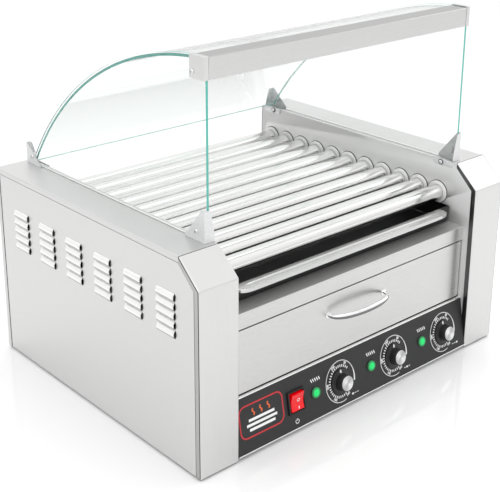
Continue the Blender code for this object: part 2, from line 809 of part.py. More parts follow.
def canopy(glass, steel, frame):
    """Flat side glasses, the curved glass between them, the top bar and its end caps."""
    top_angle = math.asin((BAR_Z[1] - ARC_CENTRE[1]) / ARC_R)
    foot_angle = math.asin((GLASS_FOOT - ARC_CENTRE[1]) / ARC_R)
    arc = arc_points(ARC_R, top_angle, foot_angle, 14)
    outline = [(GLASS_FRONT, GLASS_FOOT), (GLASS_FRONT, BAR_Z[1]), *arc]
    for label, side in SIDES:
        solid(f"glass_{label}", prism(outline, "X", *span(side, *GLASS_X)), glass, frame)
        cap_x = span(side, GLASS_X[1] + GAP, BRACKET_X[0] + 0.0005)
        solid(f"canopy_cap_{label}", box(cap_x, BAR_Y, BAR_Z), steel, frame)

    inner_r, outer_r = CURVED_R
    start = math.acos((BAR_Y[1] + 0.001 - ARC_CENTRE[0]) / outer_r)
    end = math.acos((CURVED_BACK_Y - ARC_CENTRE[0]) / outer_r)
    outer_arc = arc_points(outer_r, start, end, 14)
    inner_arc = arc_points(inner_r, start, end, 14)
    width = GLASS_X[0] - GAP
    curved = prism([*outer_arc, *reversed(inner_arc)], "X", -width, width)
    solid("glass_curved", curved, glass, frame)

    bar = solid("canopy_bar", box((-width, width), BAR_Y, BAR_Z), steel, frame)
    inside_y = (BAR_Y[0] + SHEET, BAR_Y[1] - SHEET)
    inside_z = (BAR_Z[0] + SHEET, BAR_Z[1] - SHEET)
    cut(bar, box((-HALF_WIDTH, HALF_WIDTH), inside_y, inside_z))


def bracket(name, side, face_y, into, height, surface, frame):
    """Gusset round the foot of a side glass: outer plate, end plate, tab down the wall, and a pad.

    face_y is the end plate's outer face, and into is the direction along Y towards the canopy's middle.
    """
    foot = TOP_Z + GAP
    top = foot + height
    reach = face_y + into * 0.0386
    edge = face_y + into * SHEET
    outer = [(face_y, foot), (reach, foot), (face_y + into * 0.006, top), (face_y, top)]
    made = solid(name, prism(outer, "X", *span(side, *BRACKET_X)), surface, frame)
    tab_x = WALL_X - GAP - SHEET
    end_plate = [
        (side * BRACKET_X[1], foot),
        (side * tab_x, foot),
        (side * tab_x, foot + 0.006),
        (side * (GLASS_X[0] - 0.003), top),
        (side * BRACKET_X[1], top),
    ]
    y_limits = sorted((face_y, edge))
    tab_y = sorted((face_y, face_y + into * 0.037))
    hang_x = span(side, tab_x, WALL_X - GAP)
    pad_x = span(side, GLASS_X[1] + GAP, BRACKET_X[0] + 0.0005)
    pad = cylinders([(face_y + into * 0.016, foot + 0.012)], "X", 0.005, *pad_x, 12)
    join(
        made,
        prism(end_plate, "Y", *y_limits),
        box(hang_x, tab_y, (TOP_Z - 0.010, foot + 0.0015)),
        pad,
    )
    return made


# ---- Assembly -----------------------------------------------------------------------------------------
def build():
    for old in list(bpy.data.objects):
        bpy.data.objects.remove(old)

    steel = material("brushed_steel", (0.62, 0.62, 0.61), 0.32, 1.0)
    bright = material("polished_steel", (0.78, 0.78, 0.77), 0.14, 1.0)
    chrome = material("chrome", (0.86, 0.86, 0.86), 0.08, 1.0)
    bracket_metal = material("bracket_grey", (0.55, 0.56, 0.57), 0.45, 0.6)
    black_panel = material("panel_black", (0.012, 0.012, 0.013), 0.35)
    black_plastic = material("black_plastic", (0.02, 0.02, 0.022), 0.45)
    red_plastic = material("red_plastic", (0.75, 0.02, 0.015), 0.3)
    green_lens = material("green_lens", (0.05, 0.7, 0.2), 0.2)
    rubber = material("rubber", (0.025, 0.025, 0.025), 0.8)
    glass = material("glass", (0.85, 0.95, 0.92), 0.02, 0.0, 1.0)
    zinc = material("zinc", (0.45, 0.46, 0.47), 0.4, 1.0)
    heater = material("heater_sheath", (0.25, 0.22, 0.2), 0.5, 0.8)

    body = empty("body_frame", (0.0, -FRONT_OFFSET, FOOT_HEIGHT))
    panel_frame = empty("panel_frame", PANEL_BOTTOM, body, (-PANEL_TILT, 0.0, 0.0))

    for label, side in SIDES:
        front_post(f"{label}_front_post", side, steel, body)
        wall(f"{label}_wall", side, steel, body)
        side_cover(f"{label}_side_cover", side, steel, body)
        bracket(f"bracket_front_{label}", side, 0.045, 1, 0.042, bracket_metal, body)
        bracket(f"bracket_rear_{label}", side, DEPTH - 0.009, -1, 0.030, bracket_metal, body)
    rear_panel(steel, body)
    base_pan(zinc, body)
    feet(rubber, body)
    cable_gland(black_plastic, body)

    centres = roller_centres()
    rollers(bright, body)
    heater_set("heater_front_zone", centres[:FRONT_ZONE], heater, body)
    heater_set("heater_rear_zone", centres[FRONT_ZONE:], heater, body)
    drive(zinc, heater, body)

    deck(steel, body)
    drip_tray(steel, body)
    drawer(steel, chrome, body)
    drawer_heater(heater, body)

    control_panel(black_panel, body, panel_frame)
    for zone, knob_x, lamp_x in zip(ZONES, KNOB_X, LAMP_X):
        knob(f"knob_{zone}", knob_x, black_plastic, panel_frame)
        thermostat(f"thermostat_{zone}", knob_x, zinc, panel_frame)
        lamp(f"lamp_{zone}", lamp_x, green_lens, panel_frame)
    power_switch(black_plastic, red_plastic, panel_frame)

    canopy(glass, steel, body)


build()
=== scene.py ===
"""Looks of the counter-top hot dog roller grill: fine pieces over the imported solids, materials and stage.

Metres, +Z up, front towards -Y. "Body places" below are (x from the middle, y back from the corner posts'
front face, z up from the housing's lower edge). "Panel places" are (x, height up the panel, distance out).
"""

import math

import bmesh
import bpy
from mathutils import Matrix, Vector


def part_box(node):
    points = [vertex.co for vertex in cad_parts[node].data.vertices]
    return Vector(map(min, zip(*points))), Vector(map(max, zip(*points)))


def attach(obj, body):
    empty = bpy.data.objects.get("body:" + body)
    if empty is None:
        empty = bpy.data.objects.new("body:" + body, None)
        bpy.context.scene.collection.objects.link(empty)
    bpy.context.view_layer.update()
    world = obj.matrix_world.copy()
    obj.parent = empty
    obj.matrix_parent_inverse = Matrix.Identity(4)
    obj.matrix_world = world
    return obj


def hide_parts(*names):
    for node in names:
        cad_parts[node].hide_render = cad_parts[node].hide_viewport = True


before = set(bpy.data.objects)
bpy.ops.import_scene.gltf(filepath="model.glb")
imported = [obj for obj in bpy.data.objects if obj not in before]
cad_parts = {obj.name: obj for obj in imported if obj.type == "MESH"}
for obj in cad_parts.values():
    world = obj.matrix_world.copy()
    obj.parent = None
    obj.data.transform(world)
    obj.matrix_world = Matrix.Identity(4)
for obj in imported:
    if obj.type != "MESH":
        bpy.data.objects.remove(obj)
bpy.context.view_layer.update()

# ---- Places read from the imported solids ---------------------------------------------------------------
POST_LOW, POST_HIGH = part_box("right_front_post")
ORIGIN = Vector((0.0, POST_LOW.y, POST_LOW.z))


def local(node):
    """A node's lowest and highest corners as body places."""
    low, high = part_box(node)
    return low - ORIGIN, high - ORIGIN


WALL_X = POST_LOW.x
HALF_WIDTH = POST_HIGH.x
SLOPE_DEPTH = 0.037
POST_Z = 0.253
TOP_Z = local("right_wall")[1].z
DEPTH = local("rear_panel")[1].y
SHEET = 0.0012
FLANGE = 0.0085
FOLD = 0.0016
SIDES = (("left", -1), ("right", 1))
ZONES = ("front", "rear", "drawer")
CHASSIS = "chassis"


# ---- Node helpers for materials -----------------------------------------------------------------------
class Surface:
    """A Principled material with a few short ways to add procedural detail."""

    def __init__(self, name, colour, roughness, metallic=0.0):
        self.material = bpy.data.materials.new(name)
        self.material.use_nodes = True
        self.nodes = self.material.node_tree.nodes
        self.links = self.material.node_tree.links
        self.shader = self.nodes["Principled BSDF"]
        self.set("Base Color", (*colour, 1.0))
        self.set("Roughness", roughness)
        self.set("Metallic", metallic)
        self.colour = colour

    def set(self, socket, value):
        self.shader.inputs[socket].default_value = value
        return self

    def place(self, scale):
        """Object coordinates stretched by a scale for each axis."""
        coordinates = self.nodes.new("ShaderNodeTexCoord")
        mapping = self.nodes.new("ShaderNodeMapping")
        mapping.inputs["Scale"].default_value = scale
        self.links.new(coordinates.outputs["Object"], mapping.inputs["Vector"])
        return mapping.outputs["Vector"]

    def noise(self, scale, detail=3.0, roughness=0.55):
        texture = self.nodes.new("ShaderNodeTexNoise")
        texture.inputs["Scale"].default_value = 1.0
        texture.inputs["Detail"].default_value = detail
        texture.inputs["Roughness"].default_value = roughness
        self.links.new(self.place(scale), texture.inputs["Vector"])
        return texture.outputs["Fac"]

    def ranged(self, value, low, high):
        """Maps a 0 to 1 value onto low to high."""
        node = self.nodes.new("ShaderNodeMapRange")
        node.inputs["From Min"].default_value = 0.25
        node.inputs["From Max"].default_value = 0.75
        node.inputs["To Min"].default_value = low
        node.inputs["To Max"].default_value = high
        self.links.new(value, node.inputs["Value"])
        return node.outputs["Result"]

    def tint(self, value, spread):
        """Varies the base colour by the value, darker and lighter by spread."""
        ramp = self.nodes.new("ShaderNodeValToRGB")
        ramp.color_ramp.elements[0].position = 0.25
        ramp.color_ramp.elements[1].position = 0.75
        ramp.color_ramp.elements[0].color = (*[c * (1.0 - spread) for c in self.colour], 1.0)
        ramp.color_ramp.elements[1].color = (*[min(1.0, c * (1.0 + spread)) for c in self.colour], 1.0)
        self.links.new(value, ramp.inputs["Fac"])
        self.links.new(ramp.outputs["Color"], self.shader.inputs["Base Color"])
        return self

    def vary_roughness(self, value, low, high):
        self.links.new(self.ranged(value, low, high), self.shader.inputs["Roughness"])
        return self

    def bump(self, value, distance, strength=1.0):
        node = self.nodes.new("ShaderNodeBump")
        node.inputs["Distance"].default_value = distance
        node.inputs["Strength"].default_value = strength
        self.links.new(value, node.inputs["Height"])
        self.links.new(node.outputs["Normal"], self.shader.inputs["Normal"])
        return self


def brushed(name, colour, roughness, along, spread=0.03, grain=1800.0):
    """Steel with fine scratches along one axis."""
    surface = Surface(name, colour, roughness, 1.0)
    scale = [grain, grain, grain]
    scale["XYZ".index(along)] = 12.0
    streaks = surface.noise(tuple(scale), 4.0, 0.7)
    surface.tint(streaks, spread)
    surface.vary_roughness(streaks, roughness - 0.05, roughness + 0.06)
    surface.bump(streaks, 0.00002, 0.35)
    return surface.material


def moulded(name, colour, roughness, grain=900.0, depth=0.00003):
    """Plastic or rubber with a fine moulded grain."""
    surface = Surface(name, colour, roughness)
    grains = surface.noise((grain, grain, grain), 3.0)
    surface.tint(grains, 0.10)
    surface.vary_roughness(grains, roughness - 0.05, roughness + 0.08)
    surface.bump(grains, depth, 0.6)
    return surface.material


def cast(name, colour, roughness, metallic, grain=350.0):
    """Satin or plated metal with a faint mottle."""
    surface = Surface(name, colour, roughness, metallic)
    mottle = surface.noise((grain, grain, grain), 5.0)
    surface.tint(mottle, 0.08)
    surface.vary_roughness(mottle, roughness - 0.06, roughness + 0.08)
    surface.bump(mottle, 0.00004, 0.4)
    return surface.material


STEEL_COLOUR = (0.68, 0.68, 0.675)
STEEL_X = brushed("steel_grain_across", (0.64, 0.64, 0.635), 0.30, "X")
STEEL_Y = brushed("steel_grain_back", STEEL_COLOUR, 0.32, "Y")
STEEL_WALL = brushed("steel_wall", (0.70, 0.70, 0.695), 0.42, "Y")
STEEL_Z = brushed("steel_grain_up", STEEL_COLOUR, 0.30, "Z")
# Darker copy of the steel for the posts' outer flanges: painted shade.
STEEL_FLANGE_SHADE = brushed("steel_flange_painted_shade", (0.47, 0.47, 0.465), 0.34, "Z")
STEEL_TRAY = brushed("steel_tray", (0.62, 0.62, 0.615), 0.24, "X")
# Near-black steel for the tray pan: painted shade under the rollers.
STEEL_PAN_SHADE = brushed("steel_pan_painted_shade", (0.07, 0.07, 0.07), 0.34, "X", 0.08)
# Dark copy of the steel for the deck's top faces: painted shade under the rollers.
STEEL_DECK_SHADE = cast("steel_deck_painted_shade", (0.40, 0.40, 0.395), 0.38, 0.30)
# Light copy of the steel for the louvre crests: painted highlight.
STEEL_CREST_HIGHLIGHT = brushed("steel_louvre_painted_highlight", (0.93, 0.93, 0.925), 0.42, "Y")
# Dark copy of the steel for the louvres' lower faces: painted shade.
STEEL_UNDER_SHADE = brushed("steel_louvre_painted_shade", (0.40, 0.40, 0.395), 0.36, "Y")
# Dark copy of the steel for the canopy rail's top faces: painted shade.
STEEL_BAR_TOP_SHADE = brushed("steel_bar_top_painted_shade", (0.40, 0.40, 0.395), 0.28, "X")
# Near-black copy of the steel for the posts' inner flanges: painted shade.
STEEL_INNER_SHADE = brushed("steel_inner_flange_painted_shade", (0.13, 0.13, 0.13), 0.34, "Z", 0.10)
TUBE = brushed("steel_tube", (0.80, 0.80, 0.79), 0.16, "X", 0.02, 2500.0)
CHROME = cast("chrome_plate", (0.88, 0.88, 0.88), 0.07, 1.0, 60.0)
SILVER = cast("silver_trim", (0.92, 0.92, 0.92), 0.22, 1.0)
BRACKET = cast("bracket_satin", (0.74, 0.745, 0.75), 0.40, 0.35)
ZINC = cast("zinc_plate", (0.46, 0.47, 0.48), 0.38, 1.0)
CHAIN = cast("oiled_steel", (0.20, 0.19, 0.18), 0.40, 1.0, 700.0)
HEATER = cast("heater_sheath", (0.26, 0.23, 0.21), 0.52, 0.85, 500.0)
SCREW = cast("screw_steel", (0.72, 0.72, 0.72), 0.25, 1.0, 900.0)
PANEL = moulded("panel_coat", (0.016, 0.016, 0.017), 0.50, 1400.0, 0.00002)
# Dark copy of the chrome for the handle's sideways and lower faces: painted dark reflection.
CHROME_PAINTED_REFLECTION = cast("chrome_painted_dark_reflection", (0.16, 0.16, 0.165), 0.16, 0.2)
BLACK = moulded("black_plastic", (0.004, 0.004, 0.004), 0.45)
SKIRT = moulded("skirt_plastic", (0.012, 0.012, 0.013), 0.40)
DARK = moulded("dark_recess", (0.006, 0.006, 0.006), 0.7)
RUBBER = moulded("foot_rubber", (0.025, 0.025, 0.025), 0.75, 500.0, 0.0001)
NYLON = moulded("bushing_nylon", (0.80, 0.80, 0.79), 0.38, 700.0, 0.00003)
PRINT = moulded("white_print", (0.86, 0.86, 0.86), 0.5, 2000.0, 0.00001)
PRINT_RED = moulded("red_print", (0.50, 0.022, 0.030), 0.45, 2000.0, 0.00001)
PRINT_ORANGE = moulded("orange_print", (0.70, 0.13, 0.030), 0.45, 2000.0, 0.00001)


def make_knob_cap():
    """Spun metal: rings in relief, and a painted sheen in the base colour that turns with the angle."""
    surface = Surface("knob_cap_metal", (0.66, 0.66, 0.66), 0.28, 1.0)
    angle = surface.nodes.new("ShaderNodeTexGradient")
    angle.gradient_type = "RADIAL"
    mapping = surface.nodes.new("ShaderNodeMapping")
    mapping.inputs["Rotation"].default_value = (math.radians(90), 0.0, 0.0)
    coordinates = surface.nodes.new("ShaderNodeTexCoord")
    surface.links.new(coordinates.outputs["Object"], mapping.inputs["Vector"])
    surface.links.new(mapping.outputs["Vector"], angle.inputs["Vector"])
    turn = surface.nodes.new("ShaderNodeMath")
    turn.operation = "MULTIPLY"
    turn.inputs[1].default_value = 4.0 * math.pi
    wave = surface.nodes.new("ShaderNodeMath")
    wave.operation = "SINE"
    surface.links.new(angle.outputs["Fac"], turn.inputs[0])
    surface.links.new(turn.outputs[0], wave.inputs[0])
    half = surface.nodes.new("ShaderNodeMath")
    half.operation = "MULTIPLY_ADD"
    half.inputs[1].default_value = 0.25
    half.inputs[2].default_value = 0.5
    surface.links.new(wave.outputs[0], half.inputs[0])
    # Painted sheen: the base colour lightens and darkens twice round the cap.
    surface.tint(half.outputs[0], 0.28)
    rings = surface.nodes.new("ShaderNodeTexWave")
    rings.wave_type = "RINGS"
    rings.rings_direction = "Y"
    rings.inputs["Scale"].default_value = 900.0
    surface.links.new(coordinates.outputs["Object"], rings.inputs["Vector"])
    surface.bump(rings.outputs["Fac"], 0.00002, 0.5)
    return surface.material


def make_lens(name, colour, glow):
    """Translucent coloured plastic lit from behind, with faint moulded facets."""
    surface = Surface(name, colour, 0.18)
    facets = surface.nodes.new("ShaderNodeTexVoronoi")
    facets.inputs["Scale"].default_value = 900.0
    surface.links.new(surface.place((1.0, 1.0, 1.0)), facets.inputs["Vector"])
    surface.tint(facets.outputs["Distance"], 0.06)
    surface.bump(facets.outputs["Distance"], 0.00006, 0.4)
    surface.set("Emission Color", (*colour, 1.0))
    surface.set("Emission Strength", glow)
    return surface.material


def make_glass(name, colour, roughness, alpha_like):
    """Clear tempered glass with a trace of dust and smears."""
    surface = Surface(name, colour, roughness)
    surface.set("Transmission Weight", 1.0)
    surface.set("IOR", alpha_like)
    smears = surface.noise((9.0, 30.0, 16.0), 5.0)
    surface.vary_roughness(smears, roughness, roughness + 0.012)
    return surface.material


def make_glass_edge():
    """Ground glass edge: pale green, partly clear."""
    surface = Surface("glass_edge_green", (0.13, 0.54, 0.46), 0.25)
    surface.set("Transmission Weight", 0.15)
    surface.set("IOR", 1.45)
    ground = surface.noise((700.0, 700.0, 700.0), 3.0)
    surface.tint(ground, 0.10)
    surface.bump(ground, 0.00003, 0.4)
    return surface.material


KNOB_CAP = make_knob_cap()
LENS_CORE = make_lens("lens_green_core", (0.0, 0.60, 0.13), 0.34)
LENS_RIM = make_lens("lens_green_rim", (0.02, 0.26, 0.08), 0.10)
ROCKER_RED = make_lens("rocker_red", (0.72, 0.0, 0.004), 0.20)
GLASS = make_glass("glass_clear", (0.975, 0.992, 0.985), 0.0, 1.30)
GLASS_EDGE = make_glass_edge()


# ---- Mesh helpers -------------------------------------------------------------------------------------
def add_prism(bm, outline, axis, low, high):
    """Adds a flat outline carried from low to high: (y, z) points along X, (x, z) along Y, (x, y) along Z."""
    place = {
        "X": lambda a, b, along: (along, a, b),
        "Y": lambda a, b, along: (a, along, b),
        "Z": lambda a, b, along: (a, b, along),
    }[axis]
    rings = [[bm.verts.new(place(a, b, along)) for a, b in outline] for along in (low, high)]
    count = len(outline)
    for i in range(count):
        j = (i + 1) % count
        bm.faces.new((rings[0][i], rings[0][j], rings[1][j], rings[1][i]))
    for ring in rings:
        bm.faces.new(ring)


def prism(outline, axis, low, high):
    bm = bmesh.new()
    add_prism(bm, outline, axis, low, high)
    return bm


def box(x, y, z):
    outline = ((x[0], y[0]), (x[1], y[0]), (x[1], y[1]), (x[0], y[1]))
    return prism(outline, "Z", z[0], z[1])


def circle(centre, radius, segments):
    turn = math.tau / segments
    return [
        (centre[0] + radius * math.cos(i * turn), centre[1] + radius * math.sin(i * turn))
        for i in range(segments)
    ]


def turned(profile, segments, axis, closed=True, wave=None):
    """A profile of (along, radius) points turned about an axis; wave(angle) scales the radius of flutes."""
    bm = bmesh.new()
    rings = []
    for along, radius in profile:
        ring = []
        for i in range(segments):
            angle = i * math.tau / segments
            r = radius * (wave(angle) if wave else 1.0)
            a = r * math.cos(angle)
            b = r * math.sin(angle)
            ring.append(bm.verts.new({"X": (along, a, b), "Y": (a, along, b), "Z": (a, b, along)}[axis]))
        rings.append(ring)
    count = len(rings)
    for k in range(count if closed else count - 1):
        here = rings[k]
        there = rings[(k + 1) % count]
        for i in range(segments):
            j = (i + 1) % segments
            bm.faces.new((here[i], here[j], there[j], there[i]))
    if not closed:
        bm.faces.new(rings[0])
        bm.faces.new(rings[-1])
    return bm


def span(side, low, high):
    return (low, high) if side > 0 else (-high, -low)


def surface_of(loops):
    """An open surface from loops of corners; equal corners are shared."""
    bm = bmesh.new()
    known = {}
    for loop in loops:
        corners = []
        for point in loop:
            key = tuple(round(value, 6) for value in point)
            if key not in known:
                known[key] = bm.verts.new(point)
            corners.append(known[key])
        bm.faces.new(corners)
    bmesh.ops.recalc_face_normals(bm, faces=bm.faces)
    return bm


def piece(name, bm, material, body, nodes=(), origin=ORIGIN, bevel=0.0, segments=2, smooth=38.0):
    """A finished piece: mesh, rounded edges, material, and the body that it rides on."""
    bmesh.ops.recalc_face_normals(bm, faces=bm.faces)
    mesh = bpy.data.meshes.new(name)
    bm.to_mesh(mesh)
    bm.free()
    made = bpy.data.objects.new(name, mesh)
    if isinstance(origin, Matrix):
        made.matrix_world = origin
    else:
        made.location = origin
    bpy.context.scene.collection.objects.link(made)
    for item in material if isinstance(material, (list, tuple)) else (material,):
        mesh.materials.append(item)
    mesh.shade_smooth()
    mesh.set_sharp_from_angle(angle=math.radians(smooth))
    if bevel:
        rounding = made.modifiers.new("Rounded edges", "BEVEL")
        rounding.width = bevel
        rounding.segments = segments
        rounding.limit_method = "ANGLE"
        rounding.angle_limit = math.radians(30)
        rounding.harden_normals = True
    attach(made, body)
    if nodes:
        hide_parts(*nodes)
    return made


def folded(name, loops, material, body, nodes=(), bend=FOLD, thickness=SHEET, origin=ORIGIN):
    """Sheet metal: an open surface with its folds rounded, given the sheet's thickness inward."""
    bm = surface_of(loops)
    folds = [e for e in bm.edges if len(e.link_faces) == 2 and e.calc_face_angle() > math.radians(8)]
    bmesh.ops.bevel(bm, geom=folds, offset=bend, segments=4, profile=0.5, affect="EDGES")
    made = piece(name, bm, material, body, nodes, origin)
    shell = made.modifiers.new("Sheet thickness", "SOLIDIFY")
    shell.thickness = thickness
    shell.offset = -1.0
    shell.use_even_offset = True
    even = made.modifiers.new("Even shading", "WEIGHTED_NORMAL")
    even.keep_sharp = True
    return made


def pierce(made, *tools):
    """Cuts closed shapes, given in the piece's own frame, out of it and keeps the result as its mesh."""
    cutters = []
    for tool in tools:
        bmesh.ops.recalc_face_normals(tool, faces=tool.faces)
        mesh = bpy.data.meshes.new("cutter")
        tool.to_mesh(mesh)
        tool.free()
        cutter = bpy.data.objects.new("cutter", mesh)
        cutter.matrix_world = made.matrix_world.copy()
        bpy.context.scene.collection.objects.link(cutter)
        step = made.modifiers.new("Hole", "BOOLEAN")
        step.operation = "DIFFERENCE"
        step.solver = "EXACT"
        step.object = cutter
        cutters.append(cutter)
    bpy.context.view_layer.update()
    evaluated = made.evaluated_get(bpy.context.evaluated_depsgraph_get())
    result = bpy.data.meshes.new_from_object(evaluated)
    made.modifiers.clear()
    made.data = result
    for cutter in cutters:
        bpy.data.objects.remove(cutter)
    return made


def edge_faces(made, test):
    """Gives the faces that the test picks the second material."""
    for face in made.data.polygons:
        face.material_index = 1 if test(face.normal) else 0


def dress(node, material):
    """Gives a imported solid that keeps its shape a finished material."""
    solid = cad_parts[node]
    solid.data.materials.clear()
    solid.data.materials.append(material)


# ---- Housing ------------------------------------------------------------------------------------------
def housing_posts():
    for label, side in SIDES:
        inner, outer = side * WALL_X, side * HALF_WIDTH
        flange = [(0.0, 0.0), (FLANGE, 0.0), (FLANGE, POST_Z - 0.003), (SLOPE_DEPTH + 0.0008, TOP_Z - 0.0078)]
        flange += [(SLOPE_DEPTH, TOP_Z), (0.0, POST_Z)]
        loops = [
            [(inner, 0, 0), (outer, 0, 0), (outer, 0, POST_Z), (inner, 0, POST_Z)],
            [(inner, 0, POST_Z), (outer, 0, POST_Z), (outer, SLOPE_DEPTH, TOP_Z), (inner, SLOPE_DEPTH, TOP_Z)],
            [(outer, y, z) for y, z in flange],
            [(inner, y, z) for y, z in flange],
        ]
        made = folded(f"front_post_{label}", loops, (STEEL_Z, STEEL_FLANGE_SHADE, STEEL_INNER_SHADE), CHASSIS, [f"{label}_front_post"])
        # Outer flange faces take the darker steel and inner flange faces the near-black steel: both are painted shade.
        for face in made.data.polygons:
            if abs(face.normal.x) > 0.95:
                face.material_index = 1 if abs(face.center.x) > HALF_WIDTH - 0.005 else 2


def housing_walls():
    back = DEPTH - 0.0015
    cover_top = local("left_side_cover")[1].z
    strip_front = SLOPE_DEPTH + 0.0006
    for label, side in SIDES:
        inner, outer = side * WALL_X, side * HALF_WIDTH
        wall = [(FLANGE + 0.0005, 0.0015), (back, 0.0015), (back, TOP_Z), (strip_front, TOP_Z)]
        wall += [(SLOPE_DEPTH + 0.0012, cover_top + 0.0005), (FLANGE + 0.0005, POST_Z - 0.0026)]
        lip = cover_top + 0.0006
        loops = [
            [(inner, y, z) for y, z in wall],
            [(inner, strip_front, TOP_Z), (outer, strip_front, TOP_Z), (outer, back, TOP_Z), (inner, back, TOP_Z)],
            [(outer, strip_front, TOP_Z), (outer, back, TOP_Z), (outer, back, lip), (outer, strip_front, lip)],
        ]
        made = folded(f"wall_{label}", loops, STEEL_WALL, CHASSIS, [f"{label}_wall"])
        holes = bmesh.new()
        for i in range(1, 12):
            low, high = local(f"roller_{i:02d}")
            centre = ((low.y + high.y) / 2, (low.z + high.z) / 2)
            add_prism(holes, circle(centre, 0.0131, 32), "X", *span(side, WALL_X - 0.01, WALL_X + 0.01))
        pierce(made, holes)


def side_covers():
    """Covers whose louvres are round bridges, pressed outward and open at both ends; each bridge's lower faces carry
    painted shade and its crest a painted highlight.
    """
    columns = [0.045 + i * 0.0667 for i in range(6)]
    rows = [0.1755 + i * 0.0122 for i in range(5)]
    length, height, rise, mouth = 0.0355, 0.0108, 0.0032, 0.0007
    thickness = 0.001
    steps = 8
    _, cover_high = local("left_side_cover")
    top, back, bottom, front = cover_high.z, cover_high.y - 0.0010, 0.0003, FLANGE + 0.0008
    slope_start = POST_Z - 0.0026
    ys = [front, SLOPE_DEPTH + 0.0012]
    for y in columns:
        ys += [y, y + length]
    ys.append(back)
    zs = [bottom]
    for z in rows:
        zs += [z, z + height]
    zs += [slope_start, top]
    for label, side in SIDES:
        bm = bmesh.new()
        grid = {}

        def vertex(y, z, out=0.0):
            key = (round(y, 6), round(z, 6), round(out, 6))
            if key not in grid:
                grid[key] = bm.verts.new((side * (HALF_WIDTH + out), y, z))
            return grid[key]

        def edge(y0, y1, z):
            at_louvre = y0 in columns and zs[1] <= z <= zs[10]
            inset = (y0 + mouth, y1 - mouth) if at_louvre else ()
            return [vertex(y, z) for y in (y0, *inset, y1)]

        for y0, y1 in zip(ys, ys[1:]):
            for z0, z1 in zip(zs, zs[1:]):
                if y0 in columns and z0 in rows:
                    start, end = y0 + mouth, y1 - mouth
                    levels = []
                    for k in range(steps + 1):
                        turn = math.pi * k / steps
                        levels.append((z0 + height * (0.5 - 0.5 * math.cos(turn)), rise * math.sin(turn) ** 1.2))
                    levels[0], levels[-1] = (z0, 0.0), (z1, 0.0)
                    for k, ((za, ra), (zb, rb)) in enumerate(zip(levels, levels[1:])):
                        strip = bm.faces.new(
                            (vertex(start, za, ra), vertex(end, za, ra), vertex(end, zb, rb), vertex(start, zb, rb))
                        )
                        # The lower three strips of each bridge take the painted shade, the rest the painted highlight.
                        strip.material_index = 2 if k < 3 else 1
                elif y0 == front and z0 == slope_start:
                    bm.faces.new((vertex(y0, z0), vertex(y1, z0), vertex(y1, z1)))
                else:
                    bm.faces.new((*edge(y0, y1, z0), *reversed(edge(y0, y1, z1))))
        raised = bmesh.ops.extrude_face_region(bm, geom=bm.faces[:], use_keep_orig=True)
        inner = [item for item in raised["geom"] if isinstance(item, bmesh.types.BMVert)]
        bmesh.ops.translate(bm, verts=inner, vec=(-side * thickness, 0.0, 0.0))
        piece(f"side_cover_{label}_louvred", bm, (STEEL_Y, STEEL_CREST_HIGHLIGHT, STEEL_UNDER_SHADE), CHASSIS, [f"{label}_side_cover"])


def seam_lines():
    """Dark joints between the sheets: at the posts' corners, over their slopes, and by the rear flange."""
    for label, side in SIDES:
        bm = bmesh.new()
        edge = [(0.0006, 0.0008), (0.0006, POST_Z - 0.0004), (SLOPE_DEPTH - 0.0002, TOP_Z - 0.0008)]
        outer = HALF_WIDTH + 0.00012
        for (y0, z0), (y1, z1) in zip(edge, edge[1:]):
            along = Vector((y1 - y0, z1 - z0)).normalized()
            off = Vector((along.y, -along.x)) * 0.0011
            outline = [(y0, z0), (y1, z1), (y1 + off.x, z1 + off.y), (y0 + off.x, z0 + off.y)]
            add_prism(bm, outline, "X", *span(side, outer - 0.0004, outer))
        across = [(SLOPE_DEPTH - 0.0005, TOP_Z - 0.0012), (SLOPE_DEPTH + 0.0007, TOP_Z - 0.0012)]
        across += [(SLOPE_DEPTH + 0.0007, TOP_Z + 0.0001), (SLOPE_DEPTH - 0.0001, TOP_Z + 0.0001)]
        add_prism(bm, across, "X", *span(side, WALL_X + 0.0006, HALF_WIDTH - 0.0004))
        back = local("left_side_cover")[1].y
        gap = [(back - 0.0016, 0.0010), (back + 0.0002, 0.0010), (back + 0.0002, 0.2765), (back - 0.0016, 0.2765)]
        add_prism(bm, gap, "X", *span(side, HALF_WIDTH - 0.0006, outer))
        piece(f"seams_{label}", bm, DARK, CHASSIS, [f"{label}_front_post"])


